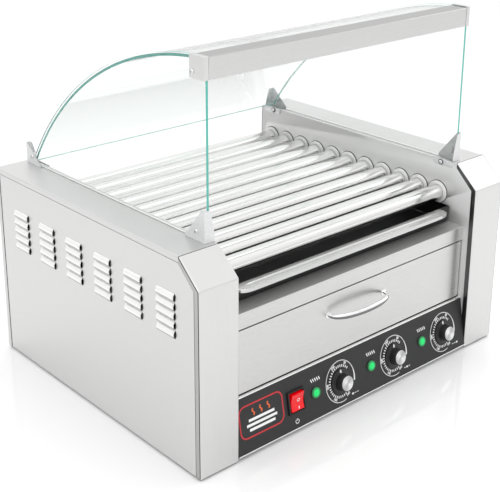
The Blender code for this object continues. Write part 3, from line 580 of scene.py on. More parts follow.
def rear_sheet():
    low, high = local("rear_panel")
    sill = 0.205
    y = high.y
    plate = [(-HALF_WIDTH, 0.0), (HALF_WIDTH, 0.0), (HALF_WIDTH, 0.278), (HALF_WIDTH, high.z), (WALL_X, high.z)]
    plate += [(WALL_X, sill), (-WALL_X, sill), (-WALL_X, high.z), (-HALF_WIDTH, high.z), (-HALF_WIDTH, 0.278)]
    loops = [[(x, y, z) for x, z in plate]]
    for side in (-1, 1):
        x = side * HALF_WIDTH
        loops.append([(x, y, 0.0), (x, y - FLANGE, 0.0), (x, y - FLANGE, 0.278), (x, y, 0.278)])
    loops.append([(WALL_X, y, sill), (-WALL_X, y, sill), (-WALL_X, y - 0.006, sill), (WALL_X, y - 0.006, sill)])
    made = folded("rear_sheet", loops, STEEL_X, CHASSIS, ["rear_panel"], bend=0.0012)
    slots = bmesh.new()
    for row in range(3):
        for column in range(8):
            x = -0.185 + column * 0.048
            z = 0.060 + row * 0.014
            ends = [(x + 0.0025, z + 0.0025, 90), (x + 0.0315, z + 0.0025, -90)]
            outline = [
                (cx + 0.0025 * math.cos(math.radians(start + 18 * k)), cz + 0.0025 * math.sin(math.radians(start + 18 * k)))
                for cx, cz, start in ends
                for k in range(11)
            ]
            add_prism(slots, outline, "Y", y - 0.01, y + 0.01)
    gland_low, gland_high = local("cable_gland")
    centre = ((gland_low.x + gland_high.x) / 2, (gland_low.z + gland_high.z) / 2)
    pierce(made, slots, prism(circle(centre, 0.0084, 32), "Y", y - 0.01, y + 0.01))

    profile = [(-0.012, 0.0045), (-0.012, 0.008), (0.0003, 0.008), (0.0003, 0.0110), (0.0010, 0.0115)]
    profile += [(0.0052, 0.0115), (0.0060, 0.0108), (0.0062, 0.0086), (0.0112, 0.0078), (0.0120, 0.0070), (0.0120, 0.0045)]
    bm = turned([(y + a, r) for a, r in profile], 48, "Y")
    place = ORIGIN + Vector((centre[0], 0.0, centre[1]))
    piece("cable_gland_nut", bm, BLACK, CHASSIS, ["cable_gland"], origin=place)


def underside():
    dress("base_pan", ZINC)
    profile = [(-0.0030, 0.0), (-0.0030, 0.0078), (-0.0026, 0.0086), (-0.0008, 0.0090), (-0.0003, 0.0086), (-0.0003, 0.0)]
    for row in ("front", "rear"):
        for label, _ in SIDES:
            node = f"foot_{row}_{label}"
            low, high = local(node)
            centre = ORIGIN + Vector(((low.x + high.x) / 2, (low.y + high.y) / 2, 0.0))
            bm = turned([(z, max(r, 0.0012)) for z, r in profile], 40, "Z")
            piece(f"{node}_pad", bm, RUBBER, CHASSIS, [node], origin=centre)


# ---- Rollers and what is inside -----------------------------------------------------------------------
def roller_set():
    tube_r, bore = 0.012, 0.0108
    low, high = local("roller_01")
    left_end, right_end = low.x, high.x
    collar_out = WALL_X - 0.0005
    collar_in = collar_out - 0.0027
    tube_mesh = None
    for i in range(1, 12):
        node = f"roller_{i:02d}"
        body = f"{node}_body"
        low, high = local(node)
        axis = Vector((0.0, (low.y + high.y) / 2, (low.z + high.z) / 2))
        place = ORIGIN + axis
        profile = [(left_end, bore), (left_end, tube_r - 0.0003), (left_end + 0.0003, tube_r)]
        profile += [(0.2375, tube_r), (0.2378, tube_r - 0.0003), (0.2378, 0.0085), (right_end - 0.0044, 0.0085)]
        profile += [(right_end - 0.0044, 0.0062), (0.2338, 0.0062), (0.2338, bore)]
        tube = piece(f"{node}_tube", turned(profile, 72, "X"), TUBE, body, [node], origin=place)
        if tube_mesh is None:
            tube_mesh = tube.data
        else:
            old = tube.data
            tube.data = tube_mesh
            bpy.data.meshes.remove(old)

        teeth = 9
        outline = []
        for k in range(teeth * 8):
            phase = (k % 8) / 8.0
            lift = 0.5 + 0.5 * math.cos(math.tau * phase)
            outline.append((0.0088 + 0.0031 * lift ** 0.7, k * math.tau / (teeth * 8)))
        rim = [(r * math.cos(a), r * math.sin(a)) for r, a in outline]
        bm = bmesh.new()
        layers = []
        for x in (right_end - 0.0044, right_end):
            layers.append([bm.verts.new((x, a, b)) for a, b in rim])
            hole = circle((0.0, 0.0), 0.0064, len(rim))
            layers.append([bm.verts.new((x, a, b)) for a, b in hole])
        for first, second in ((0, 1), (0, 2), (1, 3), (2, 3)):
            for k in range(len(rim)):
                j = (k + 1) % len(rim)
                bm.faces.new((layers[first][k], layers[first][j], layers[second][j], layers[second][k]))
        piece(f"{node}_sprocket", bm, ZINC, body, [node], origin=place, bevel=0.0003)

        for label, side in SIDES:
            ring = [(collar_in, 0.0123), (collar_in, 0.0162), (collar_in + 0.0004, 0.0168), (collar_in + 0.0009, 0.0171)]
            ring += [(collar_out - 0.0002, 0.0171), (collar_out, 0.0169), (collar_out, 0.0128)]
            ring += [(WALL_X + 0.0040, 0.0128), (WALL_X + 0.0040, 0.0123)]
            bm = turned([(side * x, r) for x, r in ring], 64, "X")
            piece(f"{node}_bushing_{label}", bm, NYLON, CHASSIS, [f"{label}_wall"], origin=place)
            # A dark ring on the wall just beyond each bushing's flange stands in for the shadow gap: painted shade.
            shadow_ring = [(WALL_X - 0.00045, 0.0135), (WALL_X - 0.00045, 0.0180), (WALL_X - 0.0001, 0.0181), (WALL_X - 0.0001, 0.0135)]
            bm = turned([(side * x, r) for x, r in shadow_ring], 64, "X")
            piece(f"{node}_shade_ring_{label}", bm, DARK, CHASSIS, [f"{label}_wall"], origin=place)


def insides():
    dress("heater_front_zone", HEATER)
    dress("heater_rear_zone", HEATER)
    dress("drawer_heater", HEATER)
    dress("drive_chain", CHAIN)
    for node in ("gear_motor", "motor_bracket", "drive_sprocket"):
        dress(node, ZINC)
    for zone in ZONES:
        dress(f"thermostat_{zone}", ZINC)
    dress("drawer_box", STEEL_X)
    dress("drawer_runner_left", STEEL_Y)
    dress("drawer_runner_right", STEEL_Y)


# ---- Deck, tray and drawer ----------------------------------------------------------------------------
def deck_sheet():
    low, high = local("deck")
    x, front, back, top, rail = high.x, low.y, high.y, high.z, low.z
    loops = [
        [(-x, front, top), (x, front, top), (x, back, top), (-x, back, top)],
        [(-x, front, top), (x, front, top), (x, front, rail), (-x, front, rail)],
        [(-x, back, top), (x, back, top), (x, back, top - 0.012), (-x, back, top - 0.012)],
    ]
    made = folded("deck_sheet", loops, (STEEL_X, STEEL_DECK_SHADE), CHASSIS, ["deck"], bend=0.0013)
    # The deck's top faces take the dark copy: painted shade under the rollers.
    edge_faces(made, lambda normal: normal.z > 0.9)


def drip_tray():
    low, high = local("drip_tray")
    x = high.x
    front, back = 0.0445, high.y
    bottom, top = low.z, high.z
    loops = [
        [(-x, front, bottom), (x, front, bottom), (x, back, bottom), (-x, back, bottom)],
        [(-x, front, bottom), (x, front, bottom), (x, front, top), (-x, front, top)],
        [(-x, back, bottom), (x, back, bottom), (x, back, top), (-x, back, top)],
        [(-x, front, bottom), (-x, back, bottom), (-x, back, top), (-x, front, top)],
        [(x, front, bottom), (x, back, bottom), (x, back, top), (x, front, top)],
    ]
    # The pan's near-black steel is painted shade.
    folded("tray_pan", loops, STEEL_PAN_SHADE, "tray", ["drip_tray"], bend=0.003, thickness=0.001)

    half = 0.203
    lip_front = low.y
    corner = [(0.0, 0.0), (0.0, 0.0110), (0.0025, 0.0165), (0.0065, 0.0200), (0.0120, 0.0222), (0.0180, 0.0232)]
    reach = front - lip_front
    right = [(half - a, front - b * reach / 0.0232) for a, b in corner]
    plan = [*right, *[(-a, b) for a, b in reversed(right)]]
    rim_z = top - 0.0045
    loops = [[(a, b, top) for a, b in plan]]
    for (a0, b0), (a1, b1) in zip(plan, plan[1:]):
        loops.append([(a0, b0, top), (a1, b1, top), (a1, b1, rim_z), (a0, b0, rim_z)])
    folded("tray_lip", loops, STEEL_TRAY, "tray", ["drip_tray"], bend=0.0011, thickness=0.0009)

    bm = bmesh.new()
    rings = []
    stations = 40
    for k in range(stations + 1):
        along = -1.0 + 2.0 * k / stations
        a = (half - 0.017) * math.copysign(abs(along) ** 0.6, along)
        end = max(0.0, 1.0 - abs(along) ** 12)
        r = 0.0004 + 0.0019 * math.sqrt(end)
        ring = []
        for i in range(13):
            turn = math.pi * i / 12
            ring.append(bm.verts.new((a, 0.0365 + 1.3 * r * math.cos(turn), top - 0.0002 + 0.8 * r * math.sin(turn))))
        rings.append(ring)
    for here, there in zip(rings, rings[1:]):
        for i in range(13):
            j = (i + 1) % 13
            bm.faces.new((here[i], here[j], there[j], there[i]))
    bm.faces.new(rings[0])
    bm.faces.new(rings[-1])
    piece("tray_lip_bead", bm, STEEL_TRAY, "tray", ["drip_tray"])


def drawer_front():
    low, high = local("drawer_front")
    x, front, back, bottom, top = high.x, low.y, high.y, low.z + 0.0005, high.z - 0.0011
    loops = [
        [(-x, front, bottom), (x, front, bottom), (x, front, top), (-x, front, top)],
        [(-x, front, top), (x, front, top), (x, back, top), (-x, back, top)],
        [(-x, front, bottom), (x, front, bottom), (x, back, bottom), (-x, back, bottom)],
        [(-x, front, bottom), (-x, front, top), (-x, back, top), (-x, back, bottom)],
        [(x, front, bottom), (x, front, top), (x, back, top), (x, back, bottom)],
    ]
    folded("drawer_fascia", loops, STEEL_X, "drawer", ["drawer_front"], bend=0.0011)

    handle_low, handle_high = local("drawer_handle")
    half_span = 0.0548
    reach = (front - 0.0003 - handle_low.y - 0.0032) * 0.86
    base_z = 0.140
    stations, sides = 40, 20
    bm = bmesh.new()
    rings = []
    for k in range(stations + 1):
        angle = math.pi * k / stations
        bow = math.sin(angle) ** 0.75
        across = 0.0020 + 0.0012 * bow
        tall = 0.0022 + 0.0022 * bow
        tangent = Vector((math.sin(angle), -0.6 * math.cos(angle), 0.0)).normalized()
        if k in (0, stations):
            tangent = Vector((0.0, 1.0 if k else -1.0, 0.0))
        outward = Vector((tangent.y, -tangent.x, 0.0))
        centre = Vector((-half_span * math.cos(angle), front - 0.0003 - reach * bow, base_z))
        ring = []
        for i in range(sides):
            turn = math.tau * i / sides
            point = centre + outward * across * math.cos(turn)
            point.z += tall * math.sin(turn)
            point.y = min(point.y, front - 0.0003)
            ring.append(bm.verts.new(point))
        rings.append(ring)
    for here, there in zip(rings, rings[1:]):
        for i in range(sides):
            j = (i + 1) % sides
            bm.faces.new((here[i], here[j], there[j], there[i]))
    bm.faces.new(rings[0])
    bm.faces.new(rings[-1])
    made = piece("drawer_bow_handle", bm, (CHROME, CHROME_PAINTED_REFLECTION), "drawer", ["drawer_handle"], smooth=60.0)
    # Sideways and part-downward faces take the dark chrome: painted dark reflection.
    edge_faces(made, lambda normal: normal.z < 0.15 and normal.z > -0.75)
    for label, side in SIDES:
        foot = [(0.0, 0.0012), (0.0, 0.0048), (-0.0008, 0.0046), (-0.0014, 0.0036), (-0.0014, 0.0012)]
        place = ORIGIN + Vector((side * half_span, front - 0.0001, base_z))
        piece(f"handle_foot_{label}", turned(foot, 32, "Y"), CHROME, "drawer", ["drawer_handle"], origin=place)


# ---- Control panel ------------------------------------------------------------------------------------
PANEL_LOW = Vector((0.0, -0.0005, 0.003))
PANEL_HIGH = Vector((0.0, 0.0138, 0.0791))
TILT = math.atan2(PANEL_HIGH.y - PANEL_LOW.y, PANEL_HIGH.z - PANEL_LOW.z)
PANEL_FRAME = Matrix.Translation(ORIGIN + PANEL_LOW) @ Matrix.Rotation(-TILT, 4, "X")
KNOB_X = (-0.039, 0.070, 0.1795)
KNOB_V = 0.0367
LAMP_X = (-0.0865, 0.0225, 0.1315)
LAMP_V = 0.0380
SWITCH = (-0.123, 0.0394)
PRINT_HEIGHT = 0.00012


def on_panel(x, v):
    """A frame at a panel place: local X across, Z up the panel, -Y out of it."""
    return PANEL_FRAME @ Matrix.Translation((x, 0.0, v))


def stroke(bm, points, width, closed=False):
    """Adds a flat printed line of (x, v) points with a real thickness."""
    count = len(points)
    sides = []
    for i, (x, v) in enumerate(points):
        before = points[i - 1] if (i or closed) else points[i]
        after = points[(i + 1) % count] if (i < count - 1 or closed) else points[i]
        along = Vector((after[0] - before[0], after[1] - before[1]))
        along.normalize()
        off = Vector((-along.y, along.x)) * (width[i] if isinstance(width, list) else width) / 2
        sides.append(((x + off.x, v + off.y), (x - off.x, v - off.y)))
    top = [[bm.verts.new((a, -PRINT_HEIGHT, b)) for a, b in pair] for pair in sides]
    base = [[bm.verts.new((a, -0.00002, b)) for a, b in pair] for pair in sides]
    last = count if closed else count - 1
    for i in range(last):
        j = (i + 1) % count
        bm.faces.new((top[i][0], top[j][0], top[j][1], top[i][1]))
        bm.faces.new((base[i][0], base[j][0], base[j][1], base[i][1]))
        bm.faces.new((top[i][0], top[j][0], base[j][0], base[i][0]))
        bm.faces.new((top[i][1], top[j][1], base[j][1], base[i][1]))
    if not closed:
        for i in (0, count - 1):
            bm.faces.new((top[i][0], top[i][1], base[i][1], base[i][0]))


def arc(radius, start, end, steps):
    """(x, v) points on an arc between two angles in degrees, counter-clockwise from 3 o'clock."""
    return [
        (
            radius * math.cos(math.radians(start + (end - start) * k / steps)),
            radius * math.sin(math.radians(start + (end - start) * k / steps)),
        )
        for k in range(steps + 1)
    ]


def squeezed(points):
    """Draws a round scale slightly narrower than it is tall, as it is printed."""
    return [(x * 0.93, v) for x, v in points]


def dial_print(zone, x):
    """Printed scale round a knob: outer ring open at the lower right, ticks and numbers."""
    bm = bmesh.new()
    ring = squeezed(arc(0.0296, -14.0, 288.0, 90))
    widths = [0.0009 + 0.0018 * max(0.0, 1.0 - k / 12.0) for k in range(len(ring))]
    stroke(bm, ring, widths)
    for k in range(26):
        angle = math.radians(44.0 + k * 10.0)
        points = [(r * math.cos(angle), r * math.sin(angle)) for r in (0.0203, 0.0238)]
        stroke(bm, squeezed(points), 0.0016)
    piece(f"dial_scale_{zone}", bm, PRINT, CHASSIS, origin=on_panel(x, KNOB_V))
    shade = bmesh.new()
    stroke(shade, squeezed(arc(0.0222, 36.0, 296.0, 80)), 0.0048)
    under = on_panel(x, KNOB_V) @ Matrix.Translation((0.0, 0.00006, 0.0))
    piece(f"dial_band_{zone}", shade, BLACK, CHASSIS, origin=under)
    for text, angle in (("50", 62.0), ("250", 118.0), ("200", 180.0), ("150", 238.0), ("100", 300.0)):
        curve = bpy.data.curves.new(f"number_{zone}_{text}", "FONT")
        curve.body = text
        curve.size = 0.0048
        curve.align_x = "CENTER"
        curve.align_y = "CENTER"
        curve.extrude = 0.00005
        curve.offset = 0.00018
        curve.materials.append(PRINT)
        made = bpy.data.objects.new(f"dial_number_{zone}_{text}", curve)
        bpy.context.scene.collection.objects.link(made)
        turn = math.radians(angle)
        ((across, rise),) = squeezed([(0.0263 * math.cos(turn), 0.0263 * math.sin(turn))])
        lean = turn - math.pi / 2 if math.sin(turn) > -0.1 else turn + math.pi / 2
        spot = on_panel(x + across, KNOB_V + rise) @ Matrix.Translation((0, -PRINT_HEIGHT, 0))
        made.matrix_world = spot @ Matrix.Rotation(-lean, 4, "Y") @ Matrix.Rotation(math.pi / 2, 4, "X")
        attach(made, CHASSIS)


def symbols():
    """Plain pictograms: heat waves over the lamps, row marks under the knobs, power mark, and a badge."""
    for zone, x in zip(ZONES, LAMP_X):
        bm = bmesh.new()
        for n in range(5):
            offset = (n - 2) * 0.0037
            points = [(offset + 0.0009 * math.sin(math.tau * k / 10), -0.0023 + 0.0046 * k / 10) for k in range(11)]
            stroke(bm, points, 0.0013)
        piece(f"heat_symbol_{zone}", bm, PRINT, CHASSIS, origin=on_panel(x + 0.0015, 0.0560))
    for index, (zone, x) in enumerate(zip(ZONES, KNOB_X)):
        bm = bmesh.new()
        for n in range(3):
            centre = (n - 1) * 0.0048
            width = 0.0026 if n == index else 0.0009
            stroke(bm, [(centre - 0.0017, 0.0), (centre + 0.0017, 0.0)], width)
        piece(f"row_symbol_{zone}", bm, PRINT, CHASSIS, origin=on_panel(x + 0.0262, 0.0112))
    bm = bmesh.new()
    stroke(bm, arc(0.0030, 120.0, 420.0, 24), 0.0009)
    stroke(bm, [(0.0, 0.0008), (0.0, 0.0040)], 0.0009)
    piece("power_symbol", bm, PRINT, CHASSIS, origin=on_panel(SWITCH[0] - 0.001, 0.0112))

    badge = on_panel(-0.1830, 0.0420)
    half_w, half_h, radius = 0.0370, 0.0215, 0.010
    corners = [(half_w - radius, half_h - radius, 0), (radius - half_w, half_h - radius, 90)]
    corners += [(radius - half_w, radius - half_h, 180), (half_w - radius, radius - half_h, 270)]

    def rounded(grow):
        points = []
        for cx, cv, start in corners:
            points += [(cx + a, cv + b) for a, b in arc(radius + grow, start, start + 90, 10)]
        return points

    bm = bmesh.new()
    stroke(bm, rounded(0.0), 0.0022, closed=True)
    piece("badge_border", bm, PRINT_RED, CHASSIS, origin=badge)
    bm = bmesh.new()
    for level, length in ((-0.0125, 0.0480), (-0.0060, 0.0560), (0.0005, 0.0480)):
        ends = [(-length / 2 + 0.002, level), (length / 2 - 0.002, level)]
        stroke(bm, ends, 0.0036)
    piece("badge_rollers", bm, PRINT, CHASSIS, origin=badge)
    bm = bmesh.new()
    for n in range(3):
        offset = (n - 1) * 0.0130
        points = [(offset + 0.0016 * math.sin(math.tau * k / 12), 0.0055 + 0.0095 * k / 12) for k in range(13)]
        stroke(bm, points, 0.0022)
    piece("badge_heat", bm, PRINT_ORANGE, CHASSIS, origin=badge)


def control_panel():
    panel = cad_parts["control_panel"]
    dress("control_panel", PANEL)
    rounding = panel.modifiers.new("Rounded folds", "BEVEL")
    rounding.width = 0.0005
    rounding.segments = 2
    rounding.limit_method = "ANGLE"
    rounding.angle_limit = math.radians(35)
    rounding.harden_normals = True
    edge = local("control_panel")[1].x - 0.0002
    top_y, top_z = PANEL_HIGH.y, PANEL_HIGH.z
    outline = [(top_y + 0.0042, top_z + 0.00005), (top_y + 0.0042, top_z + 0.0004), (top_y - 0.0003, top_z + 0.0004)]
    outline += [(top_y - 0.0009, top_z - 0.0006), (top_y - 0.0005, top_z - 0.0007), (top_y, top_z + 0.00005)]
    # A silver strip over the panel's top edge stands in for the highlight on that fold: painted highlight.
    piece("panel_top_painted_highlight", prism(outline, "X", -edge, edge), SILVER, CHASSIS, bevel=0.0001)
    bm = box((-edge, edge), (-0.00045, -0.00003), (-0.0007, 0.0007))
    piece("panel_trim_bottom", bm, SILVER, CHASSIS, origin=on_panel(0.0, 0.0009), bevel=0.0002)
    for zone, x in zip(ZONES, KNOB_X):
        dial_print(zone, x)
    symbols()


def knobs():
    for zone, x in zip(ZONES, KNOB_X):
        node, body = f"knob_{zone}", f"dial_{zone}"
        place = on_panel(x, KNOB_V)
        skirt = [(-0.0003, 0.0035), (-0.0003, 0.0168), (-0.0007, 0.0171), (-0.0015, 0.0170), (-0.0021, 0.0162)]
        skirt += [(-0.0023, 0.0130), (-0.0030, 0.0123), (-0.0030, 0.0035)]
        piece(f"{node}_skirt", turned(skirt, 72, "Y"), SKIRT, body, [node], origin=place)
        grip = [(-0.0031, 0.0040), (-0.0031, 0.0123), (-0.0040, 0.0122), (-0.0122, 0.0115), (-0.0133, 0.0110)]
        grip += [(-0.0137, 0.0104), (-0.0137, 0.0040)]

        def flutes(angle):
            return 1.0 - 0.016 * (0.5 + 0.5 * math.cos(36 * angle))

        piece(f"{node}_grip", turned(grip, 216, "Y", wave=flutes), BLACK, body, [node], origin=place)
        cap = [(-0.0134, 0.0010), (-0.0134, 0.0103), (-0.0142, 0.0104), (-0.0146, 0.0100), (-0.0147, 0.0094)]
        cap += [(-0.0144, 0.0090), (-0.0144, 0.0010)]
        piece(f"{node}_cap", turned(cap, 72, "Y"), KNOB_CAP, body, [node], origin=place)
        shaft = [(-0.0140, 0.0008), (-0.0140, 0.0032), (0.0110, 0.0030), (0.0110, 0.0008)]
        piece(f"{node}_shaft", turned(shaft, 24, "Y"), ZINC, body, [node], origin=place)
        flag = [(-0.0013, 0.0128), (0.0013, 0.0128), (0.0013, 0.0158), (0.0, 0.0180), (-0.0013, 0.0158)]
        bm = prism(flag, "Y", -0.0032, -0.0021)
        piece(f"{node}_pointer", bm, PRINT, body, [node], origin=place, bevel=0.0002)


def lamps():
    for zone, x in zip(ZONES, LAMP_X):
        node = f"lamp_{zone}"
        place = on_panel(x, LAMP_V)
        bezel = [(0.0160, 0.0020), (0.0160, 0.0058), (-0.0003, 0.0058), (-0.0003, 0.0084), (-0.0007, 0.0085)]
        bezel += [(-0.0010, 0.0081), (-0.0010, 0.0077), (-0.0006, 0.0075), (-0.0006, 0.0020)]
        piece(f"{node}_bezel", turned(bezel, 48, "Y"), BLACK, CHASSIS, [node], origin=place)
        rim = [(-0.0007, 0.0052), (-0.0007, 0.0076), (-0.0016, 0.0076), (-0.0024, 0.0070), (-0.0026, 0.0056), (-0.0024, 0.0052)]
        piece(f"{node}_rim", turned(rim, 48, "Y"), LENS_RIM, CHASSIS, [node], origin=place)
        core = [(-0.0007, 0.0051), (-0.0023, 0.0051), (-0.0029, 0.0042), (-0.0033, 0.0024), (-0.0034, 0.0006)]
        bm = turned(core, 48, "Y", closed=False)
        piece(f"{node}_core", bm, LENS_CORE, CHASSIS, [node], origin=place)


def power_switch():
    place = on_panel(*SWITCH)
    bm = box((-0.015, 0.015), (-0.0030, -0.0003), (-0.0159, 0.0159))
    body = piece("switch_bezel", bm, BLACK, CHASSIS, ["switch_body"], origin=place)
    pierce(body, box((-0.0124, 0.0124), (-0.0100, 0.0080), (-0.0139, 0.0139)))
    rounding = body.modifiers.new("Rounded edges", "BEVEL")
    rounding.width = 0.0008
    rounding.segments = 3
    rounding.limit_method = "ANGLE"
    bm = box((-0.0135, 0.0135), (0.0002, 0.0200), (-0.0144, 0.0144))
    well = piece("switch_housing", bm, BLACK, CHASSIS, ["switch_body"], origin=place)
    pierce(well, box((-0.0124, 0.0124), (-0.0100, 0.0080), (-0.0139, 0.0139)))

    profile = [(0.0045, 0.0)]
    profile += [(0.0010, 0.0120), (-0.0050, 0.0125)]
    for k in range(9):
        v = 0.0120 - 0.0240 * k / 8
        profile.append((-0.0043 - 0.0022 * (v / 0.0120) ** 2, v))
    profile += [(-0.0050, -0.0125), (0.0010, -0.0120)]
    turned_rest = place @ Matrix.Translation((0.0, 0.0020, 0.0)) @ Matrix.Rotation(math.radians(8.0), 4, "X")
    bm = prism(profile, "X", -0.0103, 0.0118)
    piece("rocker_cap", bm, ROCKER_RED, "rocker", ["switch_rocker"], origin=turned_rest, bevel=0.0005)
    bm = bmesh.new()
    stroke(bm, [(a + 0.0026, b + 0.0022) for a, b in arc(0.0020, 0.0, 345.0, 24)], 0.0009, closed=True)
    stroke(bm, [(0.0026, -0.0104), (0.0026, -0.0068)], 0.0014)
    marks = turned_rest @ Matrix.Translation((0.0, -0.00530, 0.0))
    made = piece("rocker_marks", bm, PRINT, "rocker", ["switch_rocker"], origin=marks)
    for vertex in made.data.vertices:
        depth = -0.0043 - 0.0022 * (vertex.co.z / 0.0120) ** 2 + 0.00530
        vertex.co.y += depth - 0.00006


# ---- Canopy -------------------------------------------------------------------------------------------
ARC_CENTRE = (0.041, 0.041)


def canopy_arc(radius, first, last, steps):
    points = []
    for k in range(steps + 1):
        angle = first + (last - first) * k / steps
        points.append((ARC_CENTRE[0] + radius * math.cos(angle), ARC_CENTRE[1] + radius * math.sin(angle)))
    return points


def canopy():
    glass_low, glass_high = local("glass_right")
    bar_low, bar_high = local("canopy_bar")
    radius = 0.4735
    top_angle = math.asin((bar_high.z - ARC_CENTRE[1]) / radius)
    foot_angle = math.asin((glass_low.z - ARC_CENTRE[1]) / radius)
    rim = canopy_arc(radius, top_angle, foot_angle, 64)
    outline = [(glass_low.y, glass_low.z), (glass_low.y, bar_high.z), *rim]
    for label, side in SIDES:
        bm = prism(outline, "X", *span(side, glass_low.x, glass_high.x))
        made = piece(f"side_glass_{label}", bm, (GLASS, GLASS_EDGE), CHASSIS, [f"glass_{label}"])
        edge_faces(made, lambda normal: abs(normal.x) < 0.5 and normal.z > -0.95)

    inner_r, outer_r = 0.468, 0.4715
    _, curved_high = local("glass_curved")
    start = math.acos((bar_high.y + 0.001 - ARC_CENTRE[0]) / outer_r)
    end = math.acos((0.440 - ARC_CENTRE[0]) / outer_r)
    outer = canopy_arc(outer_r, start, end, 64)
    inner = canopy_arc(inner_r, start, end, 64)
    bm = prism([*outer, *reversed(inner)], "X", -curved_high.x, curved_high.x)
    made = piece("curved_glass", bm, (GLASS, GLASS_EDGE), CHASSIS, ["glass_curved"])
    middle = Vector((0.0, *ARC_CENTRE))
    for face in made.data.polygons:
        outward = face.center - middle
        outward.x = 0.0
        face.material_index = 0 if abs(face.normal.dot(outward.normalized())) > 0.7 else 1

    face = bar_low.y - 0.0014
    bm = box((bar_low.x, bar_high.x), (face, bar_high.y), (bar_low.z, bar_high.z))
    made = piece("canopy_rail", bm, (STEEL_X, STEEL_BAR_TOP_SHADE), CHASSIS, ["canopy_bar"])
    # The rail's top faces take the dark copy: painted shade.
    edge_faces(made, lambda normal: normal.z > 0.9)
    rounding = made.modifiers.new("Rounded edges", "BEVEL")
    rounding.width = 0.0009
    rounding.segments = 3
    for label, side in SIDES:
        node = f"canopy_cap_{label}"
        low, high = local(node)
        outer, inner, top = HALF_CAP, bar_high.x + 0.0004, bar_high.z + 0.0012
        loops = [
            [(side * outer, y, z) for y, z in ((face, low.z), (high.y, low.z), (high.y, top), (face, top))],
            [(side * x, face, z) for x, z in ((inner, low.z), (outer, low.z), (outer, top), (inner, top))],
            [(side * x, y, top) for x, y in ((inner, face), (outer, face), (outer, high.y), (inner, high.y))],
        ]
        folded(f"{node}_plate", loops, STEEL_Z, CHASSIS, [node], bend=0.0007, thickness=0.0010)
        screw(f"{node}_screw", (side * HALF_CAP, high.y - 0.0050, low.z + 0.0075), "X", side, 0.0034)


HALF_CAP = local("canopy_cap_right")[1].x


def screw(name, place, axis, direction, radius, body=CHASSIS):
    """A pan-head screw with a cross recess, its head standing out along the axis."""
    head = [(0.0, 0.0), (0.0, 1.0), (0.22, 0.98), (0.45, 0.85), (0.60, 0.60), (0.66, 0.30), (0.67, 0.0)]
    profile = [(h * radius, max(r * radius, 0.00005)) for h, r in head]
    bm = turned(profile, 28, "Z")
    if axis == "X":
        turn = Matrix.Rotation(math.radians(90 * direction), 4, "Y")
    else:
        turn = Matrix.Rotation(math.radians(-90 * direction), 4, "X")
    frame_of_head = Matrix.Translation(ORIGIN + Vector(place)) @ turn
    made = piece(name, bm, SCREW, body, origin=frame_of_head)
    arm = 0.62 * radius
    width = 0.13 * radius
    deep = 0.30 * radius
    pierce(
        made,
        box((-arm, arm), (-width, width), (deep, radius)),
        box((-width, width), (-arm, arm), (deep, radius)),
    )
    return made


def brackets():
    """Gussets round the feet of the side glasses, each with a tab screwed to the inner wall."""
    for row, into in (("front", 1), ("rear", -1)):
        for label, side in SIDES:
            node = f"bracket_{row}_{label}"
            low, high = local(node)
            face_y = low.y if into > 0 else high.y
            foot, top = TOP_Z + 0.0003, high.z
            outer_x, plate_x = 0.2435, 0.2420
            tab_x = WALL_X - 0.0003
            reach = face_y + into * 0.0386
            crown = 0.004
            plate = [(face_y, foot), (reach, foot), (reach - into * 0.002, foot + 0.0035)]
            plate += [(face_y + into * 0.0085, top - crown), (face_y + into * 0.006, top - 0.001), (face_y, top)]
            end = [(outer_x, foot), (tab_x, foot), (tab_x, foot + 0.006), (0.2335, top - crown), (0.2352, top - 0.001)]
            end += [(outer_x, top)]
            tab_low = TOP_Z - 0.010
            tab_end = face_y + into * 0.037
            tab = [(face_y, foot), (face_y, tab_low + 0.002), (face_y + into * 0.003, tab_low)]
            tab += [(tab_end - into * 0.003, tab_low), (tab_end, tab_low + 0.003), (tab_end, foot)]
            loops = [
                [(side * outer_x, y, z) for y, z in plate],
                [(side * x, face_y, z) for x, z in end],
                [(side * tab_x, y, z) for y, z in tab],
            ]
            folded(f"{node}_gusset", loops, BRACKET, CHASSIS, [node], bend=0.0012)
            pad = prism(
                circle((face_y + into * 0.016, foot + 0.012), 0.005, 32),
                "X",
                *span(side, local("glass_right")[1].x + 0.0003, plate_x - 0.0001),
            )
            piece(f"{node}_pad", pad, NYLON, CHASSIS, [node], bevel=0.0004)
            spot = (side * (outer_x + 0.0001), face_y + into * 0.016, foot + 0.012)
            screw(f"{node}_glass_screw", spot, "X", side, 0.0032)
            spot = (side * (tab_x - SHEET - 0.0001), face_y + into * 0.0215, TOP_Z - 0.0047)
            screw(f"{node}_wall_screw", spot, "X", -side, 0.0033)
            rim = [(0.0, 0.0030), (0.0, 0.0042), (0.0003, 0.0042), (0.0003, 0.0030)]
            ring = turned([(side * -a, r) for a, r in rim], 28, "X")
            piece(f"{node}_wall_washer", ring, DARK, CHASSIS, [node], origin=ORIGIN + Vector(spot))


def loose_screws():
    """Screws that hold the rear sheet."""
    for x in (-0.270, -0.150, 0.0, 0.150, 0.270):
        for z in (0.014, 0.190 if abs(x) < 0.2 else 0.262):
            screw(f"rear_screw_{int(x * 1000) + 300}_{int(z * 1000)}", (x, DEPTH + 0.0001, z), "Y", 1, 0.0030)


